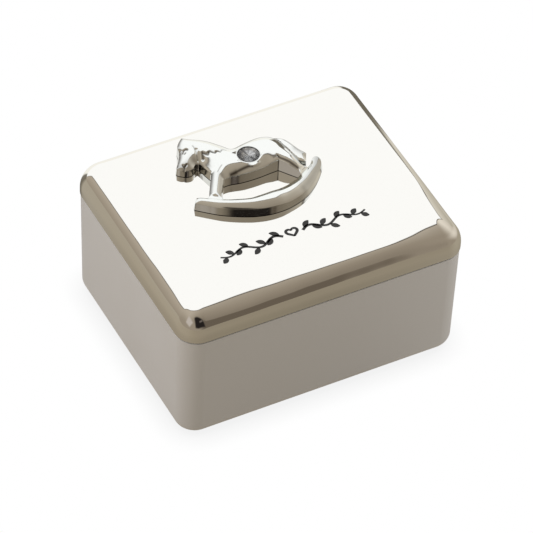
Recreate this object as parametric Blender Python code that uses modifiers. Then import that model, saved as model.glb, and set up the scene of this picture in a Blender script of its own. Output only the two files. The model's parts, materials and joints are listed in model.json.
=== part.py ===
"""Keepsake box for a lock of hair: a hinged die-cast box, lined, with a rocking horse on its lid.

The origin is the centre of the underside. +X runs along the box, -Y is its front, +Z is up.
"""

import math
from collections import Counter

import bmesh
import bpy
import numpy as np
from mathutils import Matrix, Vector
from mathutils.geometry import delaunay_2d_cdt

# Outer form of the box
BOX_LENGTH = 0.0550
BOX_DEPTH = 0.0451
BOX_HEIGHT = 0.0300
LID_HEIGHT = 0.00609
CORNER_RADIUS = 0.0041
CORNER_SHRINK = 0.7
LID_EDGE_RADIUS = 0.0051
BASE_EDGE_RADIUS = 0.0026
BASE_STEP = 0.00014
BASE_DRAFT = 0.00028

# Castings
WALL = 0.0018
BASE_FLOOR = 0.0016
LID_ROOF = 0.0016
LID_ROOF_CHAMFER = 0.0017
FLOOR_CHAMFER = 0.0003
SMALLEST_RADIUS = 0.0003

# Clearances
SEAM_GAP = 0.0003
SOFT_GAP = 0.0003
HARDWARE_GAP = 0.0001
PIN_CLEARANCE = 0.00008

# Felt under the box
FELT_BORDER = 0.0040
FELT_THICKNESS = 0.0005
FELT_PROUD = 0.0003

# Lining
LINING_THICKNESS = 0.0010
LINING_LIP = 0.0012
FLOOR_PAD_THICKNESS = 0.0020
LID_CARD_THICKNESS = 0.0005
LID_PAD_THICKNESS = 0.0011
LID_PAD_BORDER = 0.0012
PAD_EDGE = 0.0004

# Hinge
HINGE_LENGTH = 0.0140
HINGE_KNUCKLES = 5
BARREL_RADIUS = 0.0009
PIN_RADIUS = 0.0004
PIN_END = 0.0002
LEAF_THICKNESS = 0.00045
LEAF_STEP = 0.00005
LEAF_RELIEF = 0.0001
BASE_LEAF_HEIGHT = 0.0030
LID_LEAF_HEIGHT = 0.0018
GROOVE_ANGLE = math.radians(52)
GROOVE_RELIEF = 0.0001

# Hinge screws
SCREW_MARGIN = 0.0025
SCREW_SHANK_RADIUS = 0.00040
SCREW_HEAD_RADIUS = 0.00075
SCREW_HEAD_HEIGHT = 0.00035
SCREW_SKIN = 0.00045

# Rocking horse, whose outlines below are drawn in millimetres for a figure 25 mm long
DRAWN_LENGTH = 25.0
HORSE_LENGTH = 0.0250
HORSE_BACK_MARGIN = 0.00025
HORSE_SHIFT = -0.00105
HORSE_WALL = 0.0022
HORSE_CREST = 0.0036
HORSE_ROUNDING = 0.0030
ROCKER_WALL = 0.00125
ROCKER_CREST = 0.0028
ROCKER_ROUNDING = 0.0016
TAIL_WALL = 0.0012
TAIL_CREST = 0.0021
TAIL_ROUNDING = 0.0011
STUD_RADIUS = 0.0007
STUD_CLEARANCE = 0.0003
STUD_PLACES = ((2.4, 7.4), (-4.6, -2.7))
NUT_RADIUS = 0.0020
NUT_THICKNESS = 0.0004
STUD_END = 0.00025

# Crystal in the saddle
CRYSTAL_RADIUS = 0.00192
CRYSTAL_PLACE = (-0.6, 7.5)
CRYSTAL_GIRDLE = 0.00305
CRYSTAL_BAND = 0.0001
CRYSTAL_CROWN = 0.00055
CRYSTAL_TABLE_RADIUS = 0.00115
CRYSTAL_PAVILION = 0.0013

# Fineness of curved surfaces
CORNER_STEPS = 6
EDGE_STEPS = 6
ROUND_STEPS = 24
SCREW_STEPS = 16
CRYSTAL_STEPS = 16
SPLINE_STEPS = 3
RELIEF_GRID = 0.0009
ROUND_START = 1.45
OUTLINE_MATCH = 0.000001

# Places that follow from the sizes above
HALF_X = BOX_LENGTH / 2
HALF_Y = BOX_DEPTH / 2
LID_TOP = BOX_HEIGHT
SEAM = LID_TOP - LID_HEIGHT - SEAM_GAP / 2
LID_RIM = SEAM + SEAM_GAP / 2
BASE_RIM = SEAM - SEAM_GAP / 2
ROOF = LID_TOP - LID_ROOF
METAL_BOTTOM = FELT_PROUD
FELT_SEAT = FELT_THICKNESS + SOFT_GAP
FLOOR = METAL_BOTTOM + BASE_FLOOR
AXIS_Y = HALF_Y - BARREL_RADIUS
AXIS = Vector((0.0, AXIS_Y, SEAM))
LEAF_FACE = AXIS_Y - BARREL_RADIUS + LEAF_STEP
LEAF_SEAT = LEAF_FACE + LEAF_THICKNESS + SOFT_GAP
SCREW_HEAD_FACE = LEAF_FACE - HARDWARE_GAP - SCREW_HEAD_HEIGHT
LEAF_START = BARREL_RADIUS + SOFT_GAP
HORSE_SCALE = HORSE_LENGTH / DRAWN_LENGTH
HORSE_FLOOR = LID_TOP + HARDWARE_GAP

# Outlines in millimetres, anticlockwise; a third value marks a corner
HORSE_OUTLINE = (
    (-8.7, 17.2, True),
    (-10.1, 15.4),
    (-10.7, 14.0),
    (-12.0, 12.1),
    (-12.9, 10.7),
    (-12.2, 9.8),
    (-10.8, 9.55),
    (-9.8, 9.8),
    (-9.0, 9.9, True),
    (-8.4, 8.7),
    (-8.0, 7.0, True),
    (-9.2, 4.9),
    (-10.9, 2.0, True),
    (-8.7, 0.2, True),
    (-6.2, 4.6, True),
    (-4.0, 3.9),
    (0.0, 3.9),
    (3.5, 4.3, True),
    (6.6, 0.6, True),
    (8.4, 1.6, True),
    (7.5, 4.0),
    (7.0, 6.4),
    (6.6, 8.6),
    (5.5, 10.5),
    (3.6, 11.4),
    (1.0, 11.3),
    (-1.2, 11.0),
    (-2.3, 11.2, True),
    (-3.6, 13.2),
    (-5.6, 15.0),
    (-7.6, 16.4),
)
TAIL_OUTLINE = (
    (5.7, 9.6, True),
    (6.4, 6.0),
    (7.2, 3.2, True),
    (8.5, 2.9, True),
    (9.6, 5.3, True),
    (8.7, 7.4),
    (8.0, 9.2),
    (6.9, 10.3),
)

# Rocker arcs in millimetres: centre, radius, first and last angle in degrees
ROCKER_ARCS = (
    ((-1.1, 8.75), 13.8, 207, 333, 24),
    ((10.55, 2.85), 0.8, -20, 130, 5),
    ((-1.2, 15.35), 16.2, 308.5, 229, 18),
    ((-12.75, 2.75), 0.7, 80, 190, 4),
)


def clear_scene():
    """Empties the scene and returns the collections for the parts and the cutters."""
    for obj in list(bpy.data.objects):
        bpy.data.objects.remove(obj, do_unlink=True)
    parts = bpy.data.collections.new("keepsake_box")
    cutters = bpy.data.collections.new("cutters")
    cutters.hide_render = True
    bpy.context.scene.collection.children.link(parts)
    bpy.context.scene.collection.children.link(cutters)
    return parts, cutters


PARTS, CUTTERS = clear_scene()


def finish(name, colour, metallic, roughness):
    """Makes a Principled material."""
    material = bpy.data.materials.new(name)
    material.use_nodes = True
    shader = material.node_tree.nodes["Principled BSDF"]
    shader.inputs["Base Color"].default_value = (*colour, 1.0)
    shader.inputs["Metallic"].default_value = metallic
    shader.inputs["Roughness"].default_value = roughness
    return material


SATIN_SILVER = finish("satin silver plate", (0.62, 0.60, 0.57), 1.0, 0.32)
POLISHED_SILVER = finish("polished silver plate", (0.83, 0.81, 0.77), 1.0, 0.06)
PLATED_STEEL = finish("plated steel", (0.60, 0.60, 0.60), 1.0, 0.25)
SPRING_STEEL = finish("spring steel", (0.25, 0.26, 0.28), 1.0, 0.35)
CUT_GLASS = finish("cut glass", (0.80, 0.82, 0.85), 0.0, 0.02)
VELVET = finish("velvet", (0.012, 0.014, 0.03), 0.0, 0.95)
CARD = finish("card", (0.10, 0.10, 0.10), 0.0, 0.85)
FELT = finish("felt", (0.02, 0.02, 0.02), 0.0, 0.95)


def add_object(name, mesh, material, place=(0.0, 0.0, 0.0)):
    """Puts a mesh in the scene as a part, or as a hidden cutter when it has no material."""
    obj = bpy.data.objects.new(name, mesh)
    obj.location = place
    if material is None:
        obj.hide_render = True
        obj.display_type = "WIRE"
        CUTTERS.objects.link(obj)
    else:
        mesh.materials.append(material)
        PARTS.objects.link(obj)
    return obj


def mesh_from(name, bm, smooth_angle=None):
    """Turns a bmesh into a mesh with its faces pointing out."""
    bmesh.ops.recalc_face_normals(bm, faces=bm.faces)
    mesh = bpy.data.meshes.new(name)
    bm.to_mesh(mesh)
    bm.free()
    if smooth_angle is not None:
        mesh.shade_smooth()
        mesh.set_sharp_from_angle(angle=math.radians(smooth_angle))
    return mesh


def block(name, low, high, material=None):
    """Makes a box between two corners."""
    low = Vector(low)
    high = Vector(high)
    bm = bmesh.new()
    bmesh.ops.create_cube(bm, size=1.0, matrix=Matrix.Diagonal((*(high - low), 1.0)))
    return add_object(name, mesh_from(name, bm), material, (low + high) / 2)


def rod(name, radius, start, end, steps, material=None):
    """Makes a cylinder between two points."""
    start = Vector(start)
    end = Vector(end)
    turn = (end - start).to_track_quat("Z", "Y").to_matrix().to_4x4()
    bm = bmesh.new()
    bmesh.ops.create_cone(
        bm, cap_ends=True, segments=steps, radius1=radius, radius2=radius, depth=(end - start).length
    )
    bmesh.ops.transform(bm, matrix=turn, verts=bm.verts)
    return add_object(name, mesh_from(name, bm, 40), material, (start + end) / 2)


def corner_radius(inset):
    """Gives the plan radius of a corner drawn in by inset; it shrinks more slowly than the inset grows."""
    return max(CORNER_RADIUS - CORNER_SHRINK * inset, SMALLEST_RADIUS)


def rounded_rectangle(inset, height):
    """Lists the corner-rounded outline of the box in plan, drawn in by inset, at one height."""
    radius = corner_radius(inset)
    points = []
    for corner, (side_x, side_y) in enumerate(((1, 1), (-1, 1), (-1, -1), (1, -1))):
        centre_x = side_x * (HALF_X - inset - radius)
        centre_y = side_y * (HALF_Y - inset - radius)
        for step in range(CORNER_STEPS + 1):
            angle = math.pi / 2 * (corner + step / CORNER_STEPS)
            x = centre_x + radius * math.cos(angle)
            y = centre_y + radius * math.sin(angle)
            points.append((x, y, height))
    return points


def lofted_box(name, profile, material):
    """Carries a profile of (inset, height) points around the box and caps both ends."""
    bm = bmesh.new()
    rings = []
    for inset, height in profile:
        rings.append([bm.verts.new(point) for point in rounded_rectangle(inset, height)])
    count = len(rings[0])
    for lower, upper in zip(rings, rings[1:]):
        for i in range(count):
            j = (i + 1) % count
            bm.faces.new((lower[i], lower[j], upper[j], upper[i]))
    bm.faces.new(rings[0])
    bm.faces.new(rings[-1])
    return add_object(name, mesh_from(name, bm, 25), material)


def combine(target, other, operation="DIFFERENCE"):
    """Cuts, joins or intersects a part with another object through an exact Boolean."""
    modifier = target.modifiers.new(other.name, "BOOLEAN")
    modifier.operation = operation
    modifier.object = other
    modifier.solver = "EXACT"


def quarter_arc(steps):
    """Yields the sine and cosine along a quarter turn, both ends left out."""
    for step in range(1, steps):
        angle = math.pi / 2 * step / steps
        yield math.sin(angle), math.cos(angle)


# Castings of the box


def make_base_shell():
    """Makes the base casting: a drafted wall over a rounded foot, with a shallow seat for the felt."""
    foot = BASE_STEP + BASE_DRAFT
    profile = [(FELT_BORDER - SOFT_GAP, FELT_SEAT), (FELT_BORDER - SOFT_GAP, METAL_BOTTOM)]
    profile.append((foot + BASE_EDGE_RADIUS, METAL_BOTTOM))
    for sine, cosine in quarter_arc(EDGE_STEPS):
        inset = foot + BASE_EDGE_RADIUS * (1 - sine)
        profile.append((inset, METAL_BOTTOM + BASE_EDGE_RADIUS * (1 - cosine)))
    profile.append((foot, METAL_BOTTOM + BASE_EDGE_RADIUS))
    profile.append((BASE_STEP, BASE_RIM))
    profile.append((WALL, BASE_RIM))
    profile.append((WALL, FLOOR + FLOOR_CHAMFER))
    profile.append((WALL + FLOOR_CHAMFER, FLOOR))
    return lofted_box("base_shell", profile, SATIN_SILVER)


def make_lid_shell():
    """Makes the lid casting: a low skirt that turns over into a flat top."""
    profile = [(WALL + LID_ROOF_CHAMFER, ROOF), (WALL, ROOF - LID_ROOF_CHAMFER), (WALL, LID_RIM)]
    profile.append((0.0, LID_RIM))
    profile.append((0.0, LID_TOP - LID_EDGE_RADIUS))
    for sine, cosine in quarter_arc(EDGE_STEPS):
        inset = LID_EDGE_RADIUS * (1 - cosine)
        profile.append((inset, LID_TOP - LID_EDGE_RADIUS * (1 - sine)))
    profile.append((LID_EDGE_RADIUS, LID_TOP))
    return lofted_box("lid_shell", profile, POLISHED_SILVER)


def cut_hinge_groove(shells):
    """Cuts the V groove along the back seam, whose two faces meet when the lid is fully open."""
    mouth = HALF_Y + SOFT_GAP
    apex = AXIS_Y - GROOVE_RELIEF / math.sin(GROOVE_ANGLE)
    rise = (mouth - apex) * math.tan(GROOVE_ANGLE)
    bm = bmesh.new()
    ends = []
    for x in (-BOX_LENGTH, BOX_LENGTH):
        corners = ((x, apex, SEAM), (x, mouth, SEAM - rise), (x, mouth, SEAM + rise))
        ends.append([bm.verts.new(corner) for corner in corners])
    bm.faces.new(ends[0])
    bm.faces.new(ends[1])
    for i in range(3):
        j = (i + 1) % 3
        bm.faces.new((ends[0][i], ends[0][j], ends[1][j], ends[1][i]))
    groove = add_object("cut_groove", mesh_from("cut_groove", bm), None)
    half = HINGE_LENGTH / 2 + PIN_END + SOFT_GAP
    reach = Vector((half, 0, 0))
    pocket = rod("cut_pocket", LEAF_START, AXIS - reach, AXIS + reach, ROUND_STEPS)
    for shell in shells:
        combine(shell, groove)
        combine(shell, pocket)


# Hinge


def knuckle_spans():
    """Lists the start and end in X of each knuckle along the barrel."""
    width = (HINGE_LENGTH - (HINGE_KNUCKLES - 1) * HARDWARE_GAP) / HINGE_KNUCKLES
    spans = []
    for index in range(HINGE_KNUCKLES):
        start = -HINGE_LENGTH / 2 + index * (width + HARDWARE_GAP)
        spans.append((start, start + width))
    return spans


def screw_places(side):
    """Lists the centres of a leaf's two screws; side is 1 for the lid and -1 for the base."""
    height = LID_LEAF_HEIGHT if side > 0 else BASE_LEAF_HEIGHT
    z = SEAM + side * (LEAF_START + height / 2)
    x = HINGE_LENGTH / 2 - SCREW_MARGIN
    return [(-x, z), (x, z)]


def make_hinge_leaf(name, side, shell):
    """Makes one leaf with its share of the knuckles, and cuts its seat in the shell."""
    height = LID_LEAF_HEIGHT if side > 0 else BASE_LEAF_HEIGHT
    near = SEAM + side * LEAF_START
    far = near + side * height
    end = HINGE_LENGTH / 2 - LEAF_RELIEF
    back = LEAF_FACE + LEAF_THICKNESS
    leaf = block(name, (-end, LEAF_FACE, min(SEAM, far)), (end, back, max(SEAM, far)), PLATED_STEEL)
    first = 1 if side > 0 else 0
    beyond = SEAM - side * BARREL_RADIUS
    for index, (start, stop) in enumerate(knuckle_spans()[1 - first :: 2]):
        notch_low = (start - HARDWARE_GAP - LEAF_RELIEF, LEAF_FACE - WALL, min(beyond, near))
        notch_high = (stop + HARDWARE_GAP + LEAF_RELIEF, back + WALL, max(beyond, near))
        combine(leaf, block(f"cut_{name}_notch_{index}", notch_low, notch_high))
    for index, (start, stop) in enumerate(knuckle_spans()[first::2]):
        barrel_start = (start, AXIS_Y, SEAM)
        barrel_stop = (stop, AXIS_Y, SEAM)
        barrel = rod(f"add_{name}_barrel_{index}", BARREL_RADIUS, barrel_start, barrel_stop, ROUND_STEPS)
        combine(leaf, barrel, "UNION")
    reach = Vector((HINGE_LENGTH, 0, 0))
    bore = rod(f"cut_{name}_bore", PIN_RADIUS + PIN_CLEARANCE, AXIS - reach, AXIS + reach, ROUND_STEPS)
    combine(leaf, bore)
    low = min(SEAM, far + side * SOFT_GAP)
    high = max(SEAM, far + side * SOFT_GAP)
    seat_low = (-HINGE_LENGTH / 2 - SOFT_GAP, LEAF_FACE - WALL, low)
    seat_high = (HINGE_LENGTH / 2 + SOFT_GAP, LEAF_SEAT, high)
    combine(shell, block(f"cut_{name}_seat", seat_low, seat_high))
    return leaf


def shell_back(side, z):
    """Gives the Y of the outer back face of the base or the lid at one height."""
    if side < 0:
        rise = (z - METAL_BOTTOM) / (BASE_RIM - METAL_BOTTOM)
        return HALF_Y - BASE_STEP - BASE_DRAFT * (1 - rise)
    above = max(z - (LID_TOP - LID_EDGE_RADIUS), 0.0) / LID_EDGE_RADIUS
    return HALF_Y - LID_EDGE_RADIUS * (1 - math.sqrt(1 - above * above))


def make_hinge_screws(side, word, leaf, shell):
    """Makes a leaf's two screws, their holes in the leaf and their blind holes in the shell."""
    for (x, z), end in zip(screw_places(side), ("left", "right")):
        bottom = shell_back(side, z) - SCREW_SKIN
        hole = rod(
            f"cut_{word}_hole_{end}",
            SCREW_SHANK_RADIUS + HARDWARE_GAP,
            (x, LEAF_FACE - WALL, z),
            (x, bottom, z),
            SCREW_STEPS,
        )
        combine(leaf, hole)
        combine(shell, hole)
        head = rod(
            f"hinge_screw_{word}_{end}",
            SCREW_HEAD_RADIUS,
            (x, SCREW_HEAD_FACE, z),
            (x, LEAF_FACE - HARDWARE_GAP, z),
            SCREW_STEPS,
            PLATED_STEEL,
        )
        inside = SCREW_HEAD_FACE + SCREW_HEAD_HEIGHT / 2
        tip = (x, bottom - HARDWARE_GAP, z)
        shank = rod(f"add_{word}_shank_{end}", SCREW_SHANK_RADIUS, (x, inside, z), tip, SCREW_STEPS)
        combine(head, shank, "UNION")


def make_hinge_pin():
    """Makes the pin, a little longer than the barrel at each end."""
    half = Vector((HINGE_LENGTH / 2 + PIN_END, 0, 0))
    return rod("hinge_pin", PIN_RADIUS, AXIS - half, AXIS + half, ROUND_STEPS, PLATED_STEEL)


# Rocking horse


def horse_place(x, y, z=0.0):
    """Turns a place drawn in millimetres into one on the lid, in metres."""
    shift_x = HORSE_SHIFT - DRAWN_CENTRE * HORSE_SCALE
    shift_y = HALF_Y - LID_EDGE_RADIUS - HORSE_BACK_MARGIN - DRAWN_TOP * HORSE_SCALE
    return Vector((x * HORSE_SCALE + shift_x, y * HORSE_SCALE + shift_y, HORSE_FLOOR + z))


def arc_points(centre, radius, first, last, count):
    """Lists points along an arc, given in degrees."""
    points = []
    for step in range(count + 1):
        angle = math.radians(first + (last - first) * step / count)
        points.append((centre[0] + radius * math.cos(angle), centre[1] + radius * math.sin(angle)))
    return points


def spline_points(outline):
    """Rounds a closed outline between its points with cubic arcs, leaving the marked corners sharp."""
    knots = [Vector(point[:2]) for point in outline]
    sharp = [len(point) > 2 for point in outline]
    count = len(knots)
    points = []
    for i in range(count):
        j = (i + 1) % count
        before = knots[i] if sharp[i] else knots[i - 1]
        after = knots[j] if sharp[j] else knots[(j + 1) % count]
        leave = (knots[j] - before) / 2
        arrive = (after - knots[i]) / 2
        for step in range(SPLINE_STEPS):
            t = step / SPLINE_STEPS
            blend = t * t * (3 - 2 * t)
            slopes = t * (1 - t) ** 2 * leave - t * t * (1 - t) * arrive
            points.append(tuple(knots[i] * (1 - blend) + knots[j] * blend + slopes))
    return points


ROCKER_DRAWN = [point for arc in ROCKER_ARCS for point in arc_points(*arc)]
DRAWN_CENTRE = (min(x for x, _ in ROCKER_DRAWN) + max(x for x, _ in ROCKER_DRAWN)) / 2
DRAWN_TOP = max(point[1] for point in HORSE_OUTLINE)


def depth_inside(places, outline):
    """Gives how far each place lies inside a closed outline, negative where it lies outside."""
    start = np.array(outline)
    step = np.roll(start, -1, axis=0) - start
    offset = places[:, None, :] - start[None, :, :]
    along = np.clip((offset * step).sum(2) / (step * step).sum(1), 0.0, 1.0)
    distance = np.linalg.norm(offset - along[:, :, None] * step, axis=2).min(1)
    spans = (offset[:, :, 1] >= 0) != (offset[:, :, 1] >= step[:, 1])
    level = np.where(step[:, 1] == 0, 1.0, step[:, 1])
    crossed = spans & (offset[:, :, 1] / level * step[:, 0] > offset[:, :, 0])
    return np.where(crossed.sum(1) % 2 == 1, distance, -distance)


def relief_height(places, figures):
    """Gives the height of the figure at each place: the highest of its wall and rounded back."""
    height = np.full(len(places), min(figure[1] for figure in figures))
    for outline, wall, crest, reach in figures:
        depth = depth_inside(places, outline)
        t = np.clip(depth / reach, 0.0, 1.0)
        rounded = ROUND_START * t + (3 - 2 * ROUND_START) * t**2 + (ROUND_START - 2) * t**3
        higher = np.maximum(height, wall + (crest - wall) * rounded)
        height = np.where(depth > -OUTLINE_MATCH, higher, height)
    return height


def relief_grid(figures):
    """Lists places inside the figures on a staggered grid, clear of every outline."""
    corners = np.concatenate([np.array(figure[0]) for figure in figures])
    low = corners.min(0)
    high = corners.max(0)
    rows = np.arange(low[1], high[1], RELIEF_GRID * math.sqrt(3) / 2)
    places = []
    for index, y in enumerate(rows):
        for x in np.arange(low[0] + index % 2 * RELIEF_GRID / 2, high[0], RELIEF_GRID):
            places.append((x, y))
    places = np.array(places)
    depths = [depth_inside(places, figure[0]) for figure in figures]
    clear = np.min(np.abs(depths), axis=0) > RELIEF_GRID / 2
    return places[clear & (np.max(depths, axis=0) > 0)]


def relief_mesh(name, figures):
    """Joins overlapping outlines into one closed relief with upright walls and a flat back."""
    coords = [Vector(place) for place in relief_grid(figures)]
    faces = []
    for figure in figures:
        faces.append(list(range(len(coords), len(coords) + len(figure[0]))))
        coords += [Vector(point) for point in figure[0]]
    flat = delaunay_2d_cdt(coords, [], faces, 1, OUTLINE_MATCH / 10, True)
    triangles = [face for face, origin in zip(flat[2], flat[5]) if origin]
    places = np.array([tuple(point) for point in flat[0]])
    heights = relief_height(places, figures)
    bm = bmesh.new()
    top = [bm.verts.new((*place, height)) for place, height in zip(places, heights)]
    bottom = [bm.verts.new((*place, 0.0)) for place in places]
    sides = Counter()
    for face in triangles:
        bm.faces.new([top[i] for i in face])
        bm.faces.new([bottom[i] for i in reversed(face)])
        for i, j in zip(face, face[1:] + face[:1]):
            sides[min(i, j), max(i, j)] += 1
    for (i, j), uses in sides.items():
        if uses == 1:
            bm.faces.new((top[i], top[j], bottom[j], bottom[i]))
    loose = [vert for vert in bm.verts if not vert.link_faces]
    bmesh.ops.delete(bm, geom=loose, context="VERTS")
    return mesh_from(name, bm, 35)


def placed(points):
    """Turns drawn points into places on the lid."""
    return [tuple(horse_place(x, y).xy) for x, y in points]


def make_rocking_horse(lid):
    """Makes the figure as one casting with two studs that pass through the lid."""
    figures = [
        (placed(spline_points(HORSE_OUTLINE)), HORSE_WALL, HORSE_CREST, HORSE_ROUNDING),
        (placed(ROCKER_DRAWN), ROCKER_WALL, ROCKER_CREST, ROCKER_ROUNDING),
        (placed(spline_points(TAIL_OUTLINE)), TAIL_WALL, TAIL_CREST, TAIL_ROUNDING),
    ]
    mesh = relief_mesh("rocking_horse", figures)
    horse = add_object("rocking_horse", mesh, POLISHED_SILVER, (0.0, 0.0, HORSE_FLOOR))
    seat_low = horse_place(*CRYSTAL_PLACE, CRYSTAL_GIRDLE - CRYSTAL_PAVILION - HARDWARE_GAP)
    seat_high = horse_place(*CRYSTAL_PLACE, HORSE_CREST + CRYSTAL_CROWN)
    combine(horse, rod("cut_crystal_seat", CRYSTAL_RADIUS + HARDWARE_GAP, seat_low, seat_high, ROUND_STEPS))
    for index, (x, y) in enumerate(STUD_PLACES):
        root = horse_place(x, y, ROCKER_WALL)
        tip = Vector((root.x, root.y, ROOF - HARDWARE_GAP - NUT_THICKNESS - STUD_END))
        combine(horse, rod(f"add_stud_{index}", STUD_RADIUS, tip, root, SCREW_STEPS), "UNION")
        above = Vector((root.x, root.y, LID_TOP + WALL))
        below = Vector((root.x, root.y, ROOF - WALL))
        combine(lid, rod(f"cut_stud_{index}", STUD_RADIUS + STUD_CLEARANCE, below, above, SCREW_STEPS))


def make_horse_nuts():
    """Makes the two push-on nuts that grip the studs under the lid."""
    for (x, y), word in zip(STUD_PLACES, ("body", "rocker")):
        place = horse_place(x, y)
        high = Vector((place.x, place.y, ROOF - HARDWARE_GAP))
        low = Vector((place.x, place.y, ROOF - HARDWARE_GAP - NUT_THICKNESS))
        nut = rod(f"horse_nut_{word}", NUT_RADIUS, low, high, SCREW_STEPS, SPRING_STEEL)
        reach = Vector((0, 0, WALL))
        hole = rod(f"cut_nut_{word}", STUD_RADIUS + HARDWARE_GAP, low - reach, high + reach, SCREW_STEPS)
        combine(nut, hole)


def make_crystal():
    """Makes the crystal as a turned profile with as many sides as it has facets round its girdle."""
    profile = [
        (0.0, CRYSTAL_CROWN),
        (CRYSTAL_TABLE_RADIUS, CRYSTAL_CROWN),
        (CRYSTAL_RADIUS, CRYSTAL_BAND),
        (CRYSTAL_RADIUS, -CRYSTAL_BAND),
        (0.0, -CRYSTAL_PAVILION),
    ]
    mesh = bpy.data.meshes.new("crystal")
    edges = [(i, i + 1) for i in range(len(profile) - 1)]
    mesh.from_pydata([(radius, 0.0, z) for radius, z in profile], edges, [])
    crystal = add_object("crystal", mesh, CUT_GLASS, horse_place(*CRYSTAL_PLACE, CRYSTAL_GIRDLE))
    turn = crystal.modifiers.new("turn", "SCREW")
    turn.steps = CRYSTAL_STEPS
    turn.render_steps = CRYSTAL_STEPS
    turn.use_merge_vertices = True
    turn.merge_threshold = 0.00001
    return crystal


# Linings and felt


def make_linings():
    """Makes the padded floor and the four wall linings, which stand up into the lid and locate it."""
    low = FLOOR + SOFT_GAP
    high = BASE_RIM + LINING_LIP
    side_outer = HALF_X - WALL - SOFT_GAP
    side_inner = side_outer - LINING_THICKNESS
    front_outer = -(HALF_Y - WALL - SOFT_GAP)
    front_inner = front_outer + LINING_THICKNESS
    back_outer = SCREW_HEAD_FACE - SOFT_GAP
    back_inner = back_outer - LINING_THICKNESS
    bend = corner_radius(WALL)
    turn_in = bend - math.sqrt(bend * bend - (bend - SOFT_GAP) ** 2)
    long_end = min(side_inner - SOFT_GAP, HALF_X - WALL - turn_in - SOFT_GAP)
    short_end = HALF_Y - WALL - turn_in - SOFT_GAP
    block("lining_front", (-long_end, front_outer, low), (long_end, front_inner, high), VELVET)
    block("lining_back", (-long_end, back_inner, low), (long_end, back_outer, high), VELVET)
    block("lining_left", (-side_outer, -short_end, low), (-side_inner, short_end, high), VELVET)
    block("lining_right", (side_inner, -short_end, low), (side_outer, short_end, high), VELVET)
    pad_low = (-long_end, front_inner + SOFT_GAP, low)
    pad_high = (long_end, back_inner - SOFT_GAP, low + FLOOR_PAD_THICKNESS)
    pad = block("lining_floor", pad_low, pad_high, VELVET)
    soften = pad.modifiers.new("soft edge", "BEVEL")
    soften.width = PAD_EDGE
    soften.segments = 2


def make_lid_lining():
    """Makes the card and the padded velvet that hide the nuts inside the lid."""
    inset = WALL + SOFT_GAP + LID_PAD_BORDER
    card_top = ROOF - HARDWARE_GAP - NUT_THICKNESS - STUD_END - SOFT_GAP
    card_bottom = card_top - LID_CARD_THICKNESS
    pad_top = card_bottom - SOFT_GAP
    pad_bottom = pad_top - LID_PAD_THICKNESS
    lofted_box("lid_lining_card", [(inset, card_bottom), (inset, card_top)], CARD)
    profile = [(inset + PAD_EDGE, pad_bottom), (inset, pad_bottom + PAD_EDGE), (inset, pad_top)]
    lofted_box("lid_lining_pad", profile, VELVET)


def make_underside_felt():
    """Makes the felt that the box stands on."""
    lofted_box("underside_felt", [(FELT_BORDER, 0.0), (FELT_BORDER, FELT_THICKNESS)], FELT)


def build():
    """Builds the whole box."""
    base = make_base_shell()
    lid = make_lid_shell()
    cut_hinge_groove((base, lid))
    base_leaf = make_hinge_leaf("hinge_leaf_base", -1, base)
    lid_leaf = make_hinge_leaf("hinge_leaf_lid", 1, lid)
    make_hinge_screws(-1, "base", base_leaf, base)
    make_hinge_screws(1, "lid", lid_leaf, lid)
    make_hinge_pin()
    make_rocking_horse(lid)
    make_horse_nuts()
    make_crystal()
    make_linings()
    make_lid_lining()
    make_underside_felt()


build()
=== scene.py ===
"""Dresses a hinged keepsake box: plated castings, a rocking horse with a crystal saddle, and linings.

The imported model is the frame. +X runs along the box, -Y is its front and +Z is up. Everything is in
metres, but for the sizes whose names end in _mm and the figures of the horse and the scroll.
"""

import json
import logging
import math
from collections.abc import Iterable, Sequence
from dataclasses import dataclass
from enum import Enum

import bmesh
import bpy
import numpy as np
from bpy.types import Material, Node, NodeSocket, NodeTree, Object
from mathutils import Matrix, Vector
from mathutils.geometry import delaunay_2d_cdt


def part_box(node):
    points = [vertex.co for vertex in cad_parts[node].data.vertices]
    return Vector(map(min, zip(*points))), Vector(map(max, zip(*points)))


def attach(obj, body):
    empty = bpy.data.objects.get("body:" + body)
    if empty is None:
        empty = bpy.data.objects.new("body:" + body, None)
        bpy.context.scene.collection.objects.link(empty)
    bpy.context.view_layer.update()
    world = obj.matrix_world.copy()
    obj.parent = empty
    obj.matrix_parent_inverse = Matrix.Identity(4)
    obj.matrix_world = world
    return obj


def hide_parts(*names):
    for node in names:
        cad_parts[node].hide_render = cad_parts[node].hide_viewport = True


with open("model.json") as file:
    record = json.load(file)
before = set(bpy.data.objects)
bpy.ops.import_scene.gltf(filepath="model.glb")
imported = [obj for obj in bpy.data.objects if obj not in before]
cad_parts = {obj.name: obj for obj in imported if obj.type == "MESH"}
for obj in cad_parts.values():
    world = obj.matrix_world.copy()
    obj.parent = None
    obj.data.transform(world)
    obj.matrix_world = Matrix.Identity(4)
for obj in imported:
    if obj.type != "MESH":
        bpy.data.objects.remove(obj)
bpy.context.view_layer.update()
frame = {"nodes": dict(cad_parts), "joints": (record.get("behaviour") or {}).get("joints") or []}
MM = 0.001
MERGE = 1e-7  # Points of a mesh that lie closer than this are one.
WHITE = (1.0, 1.0, 1.0, 1.0)
LOG = logging.getLogger("keepsake_box")


# Colours and nodes


def linear(hex_colour: str) -> tuple[float, float, float, float]:
    """Turns an sRGB hex colour into linear light.

    Args:
        hex_colour: Six hex digits.

    Returns:
        Red, green, blue and an alpha of 1.
    """
    channels = [int(hex_colour[i : i + 2], 16) / 255 for i in (0, 2, 4)]
    light = [c / 12.92 if c <= 0.04045 else ((c + 0.055) / 1.055) ** 2.4 for c in channels]
    return (*light, 1.0)


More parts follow.
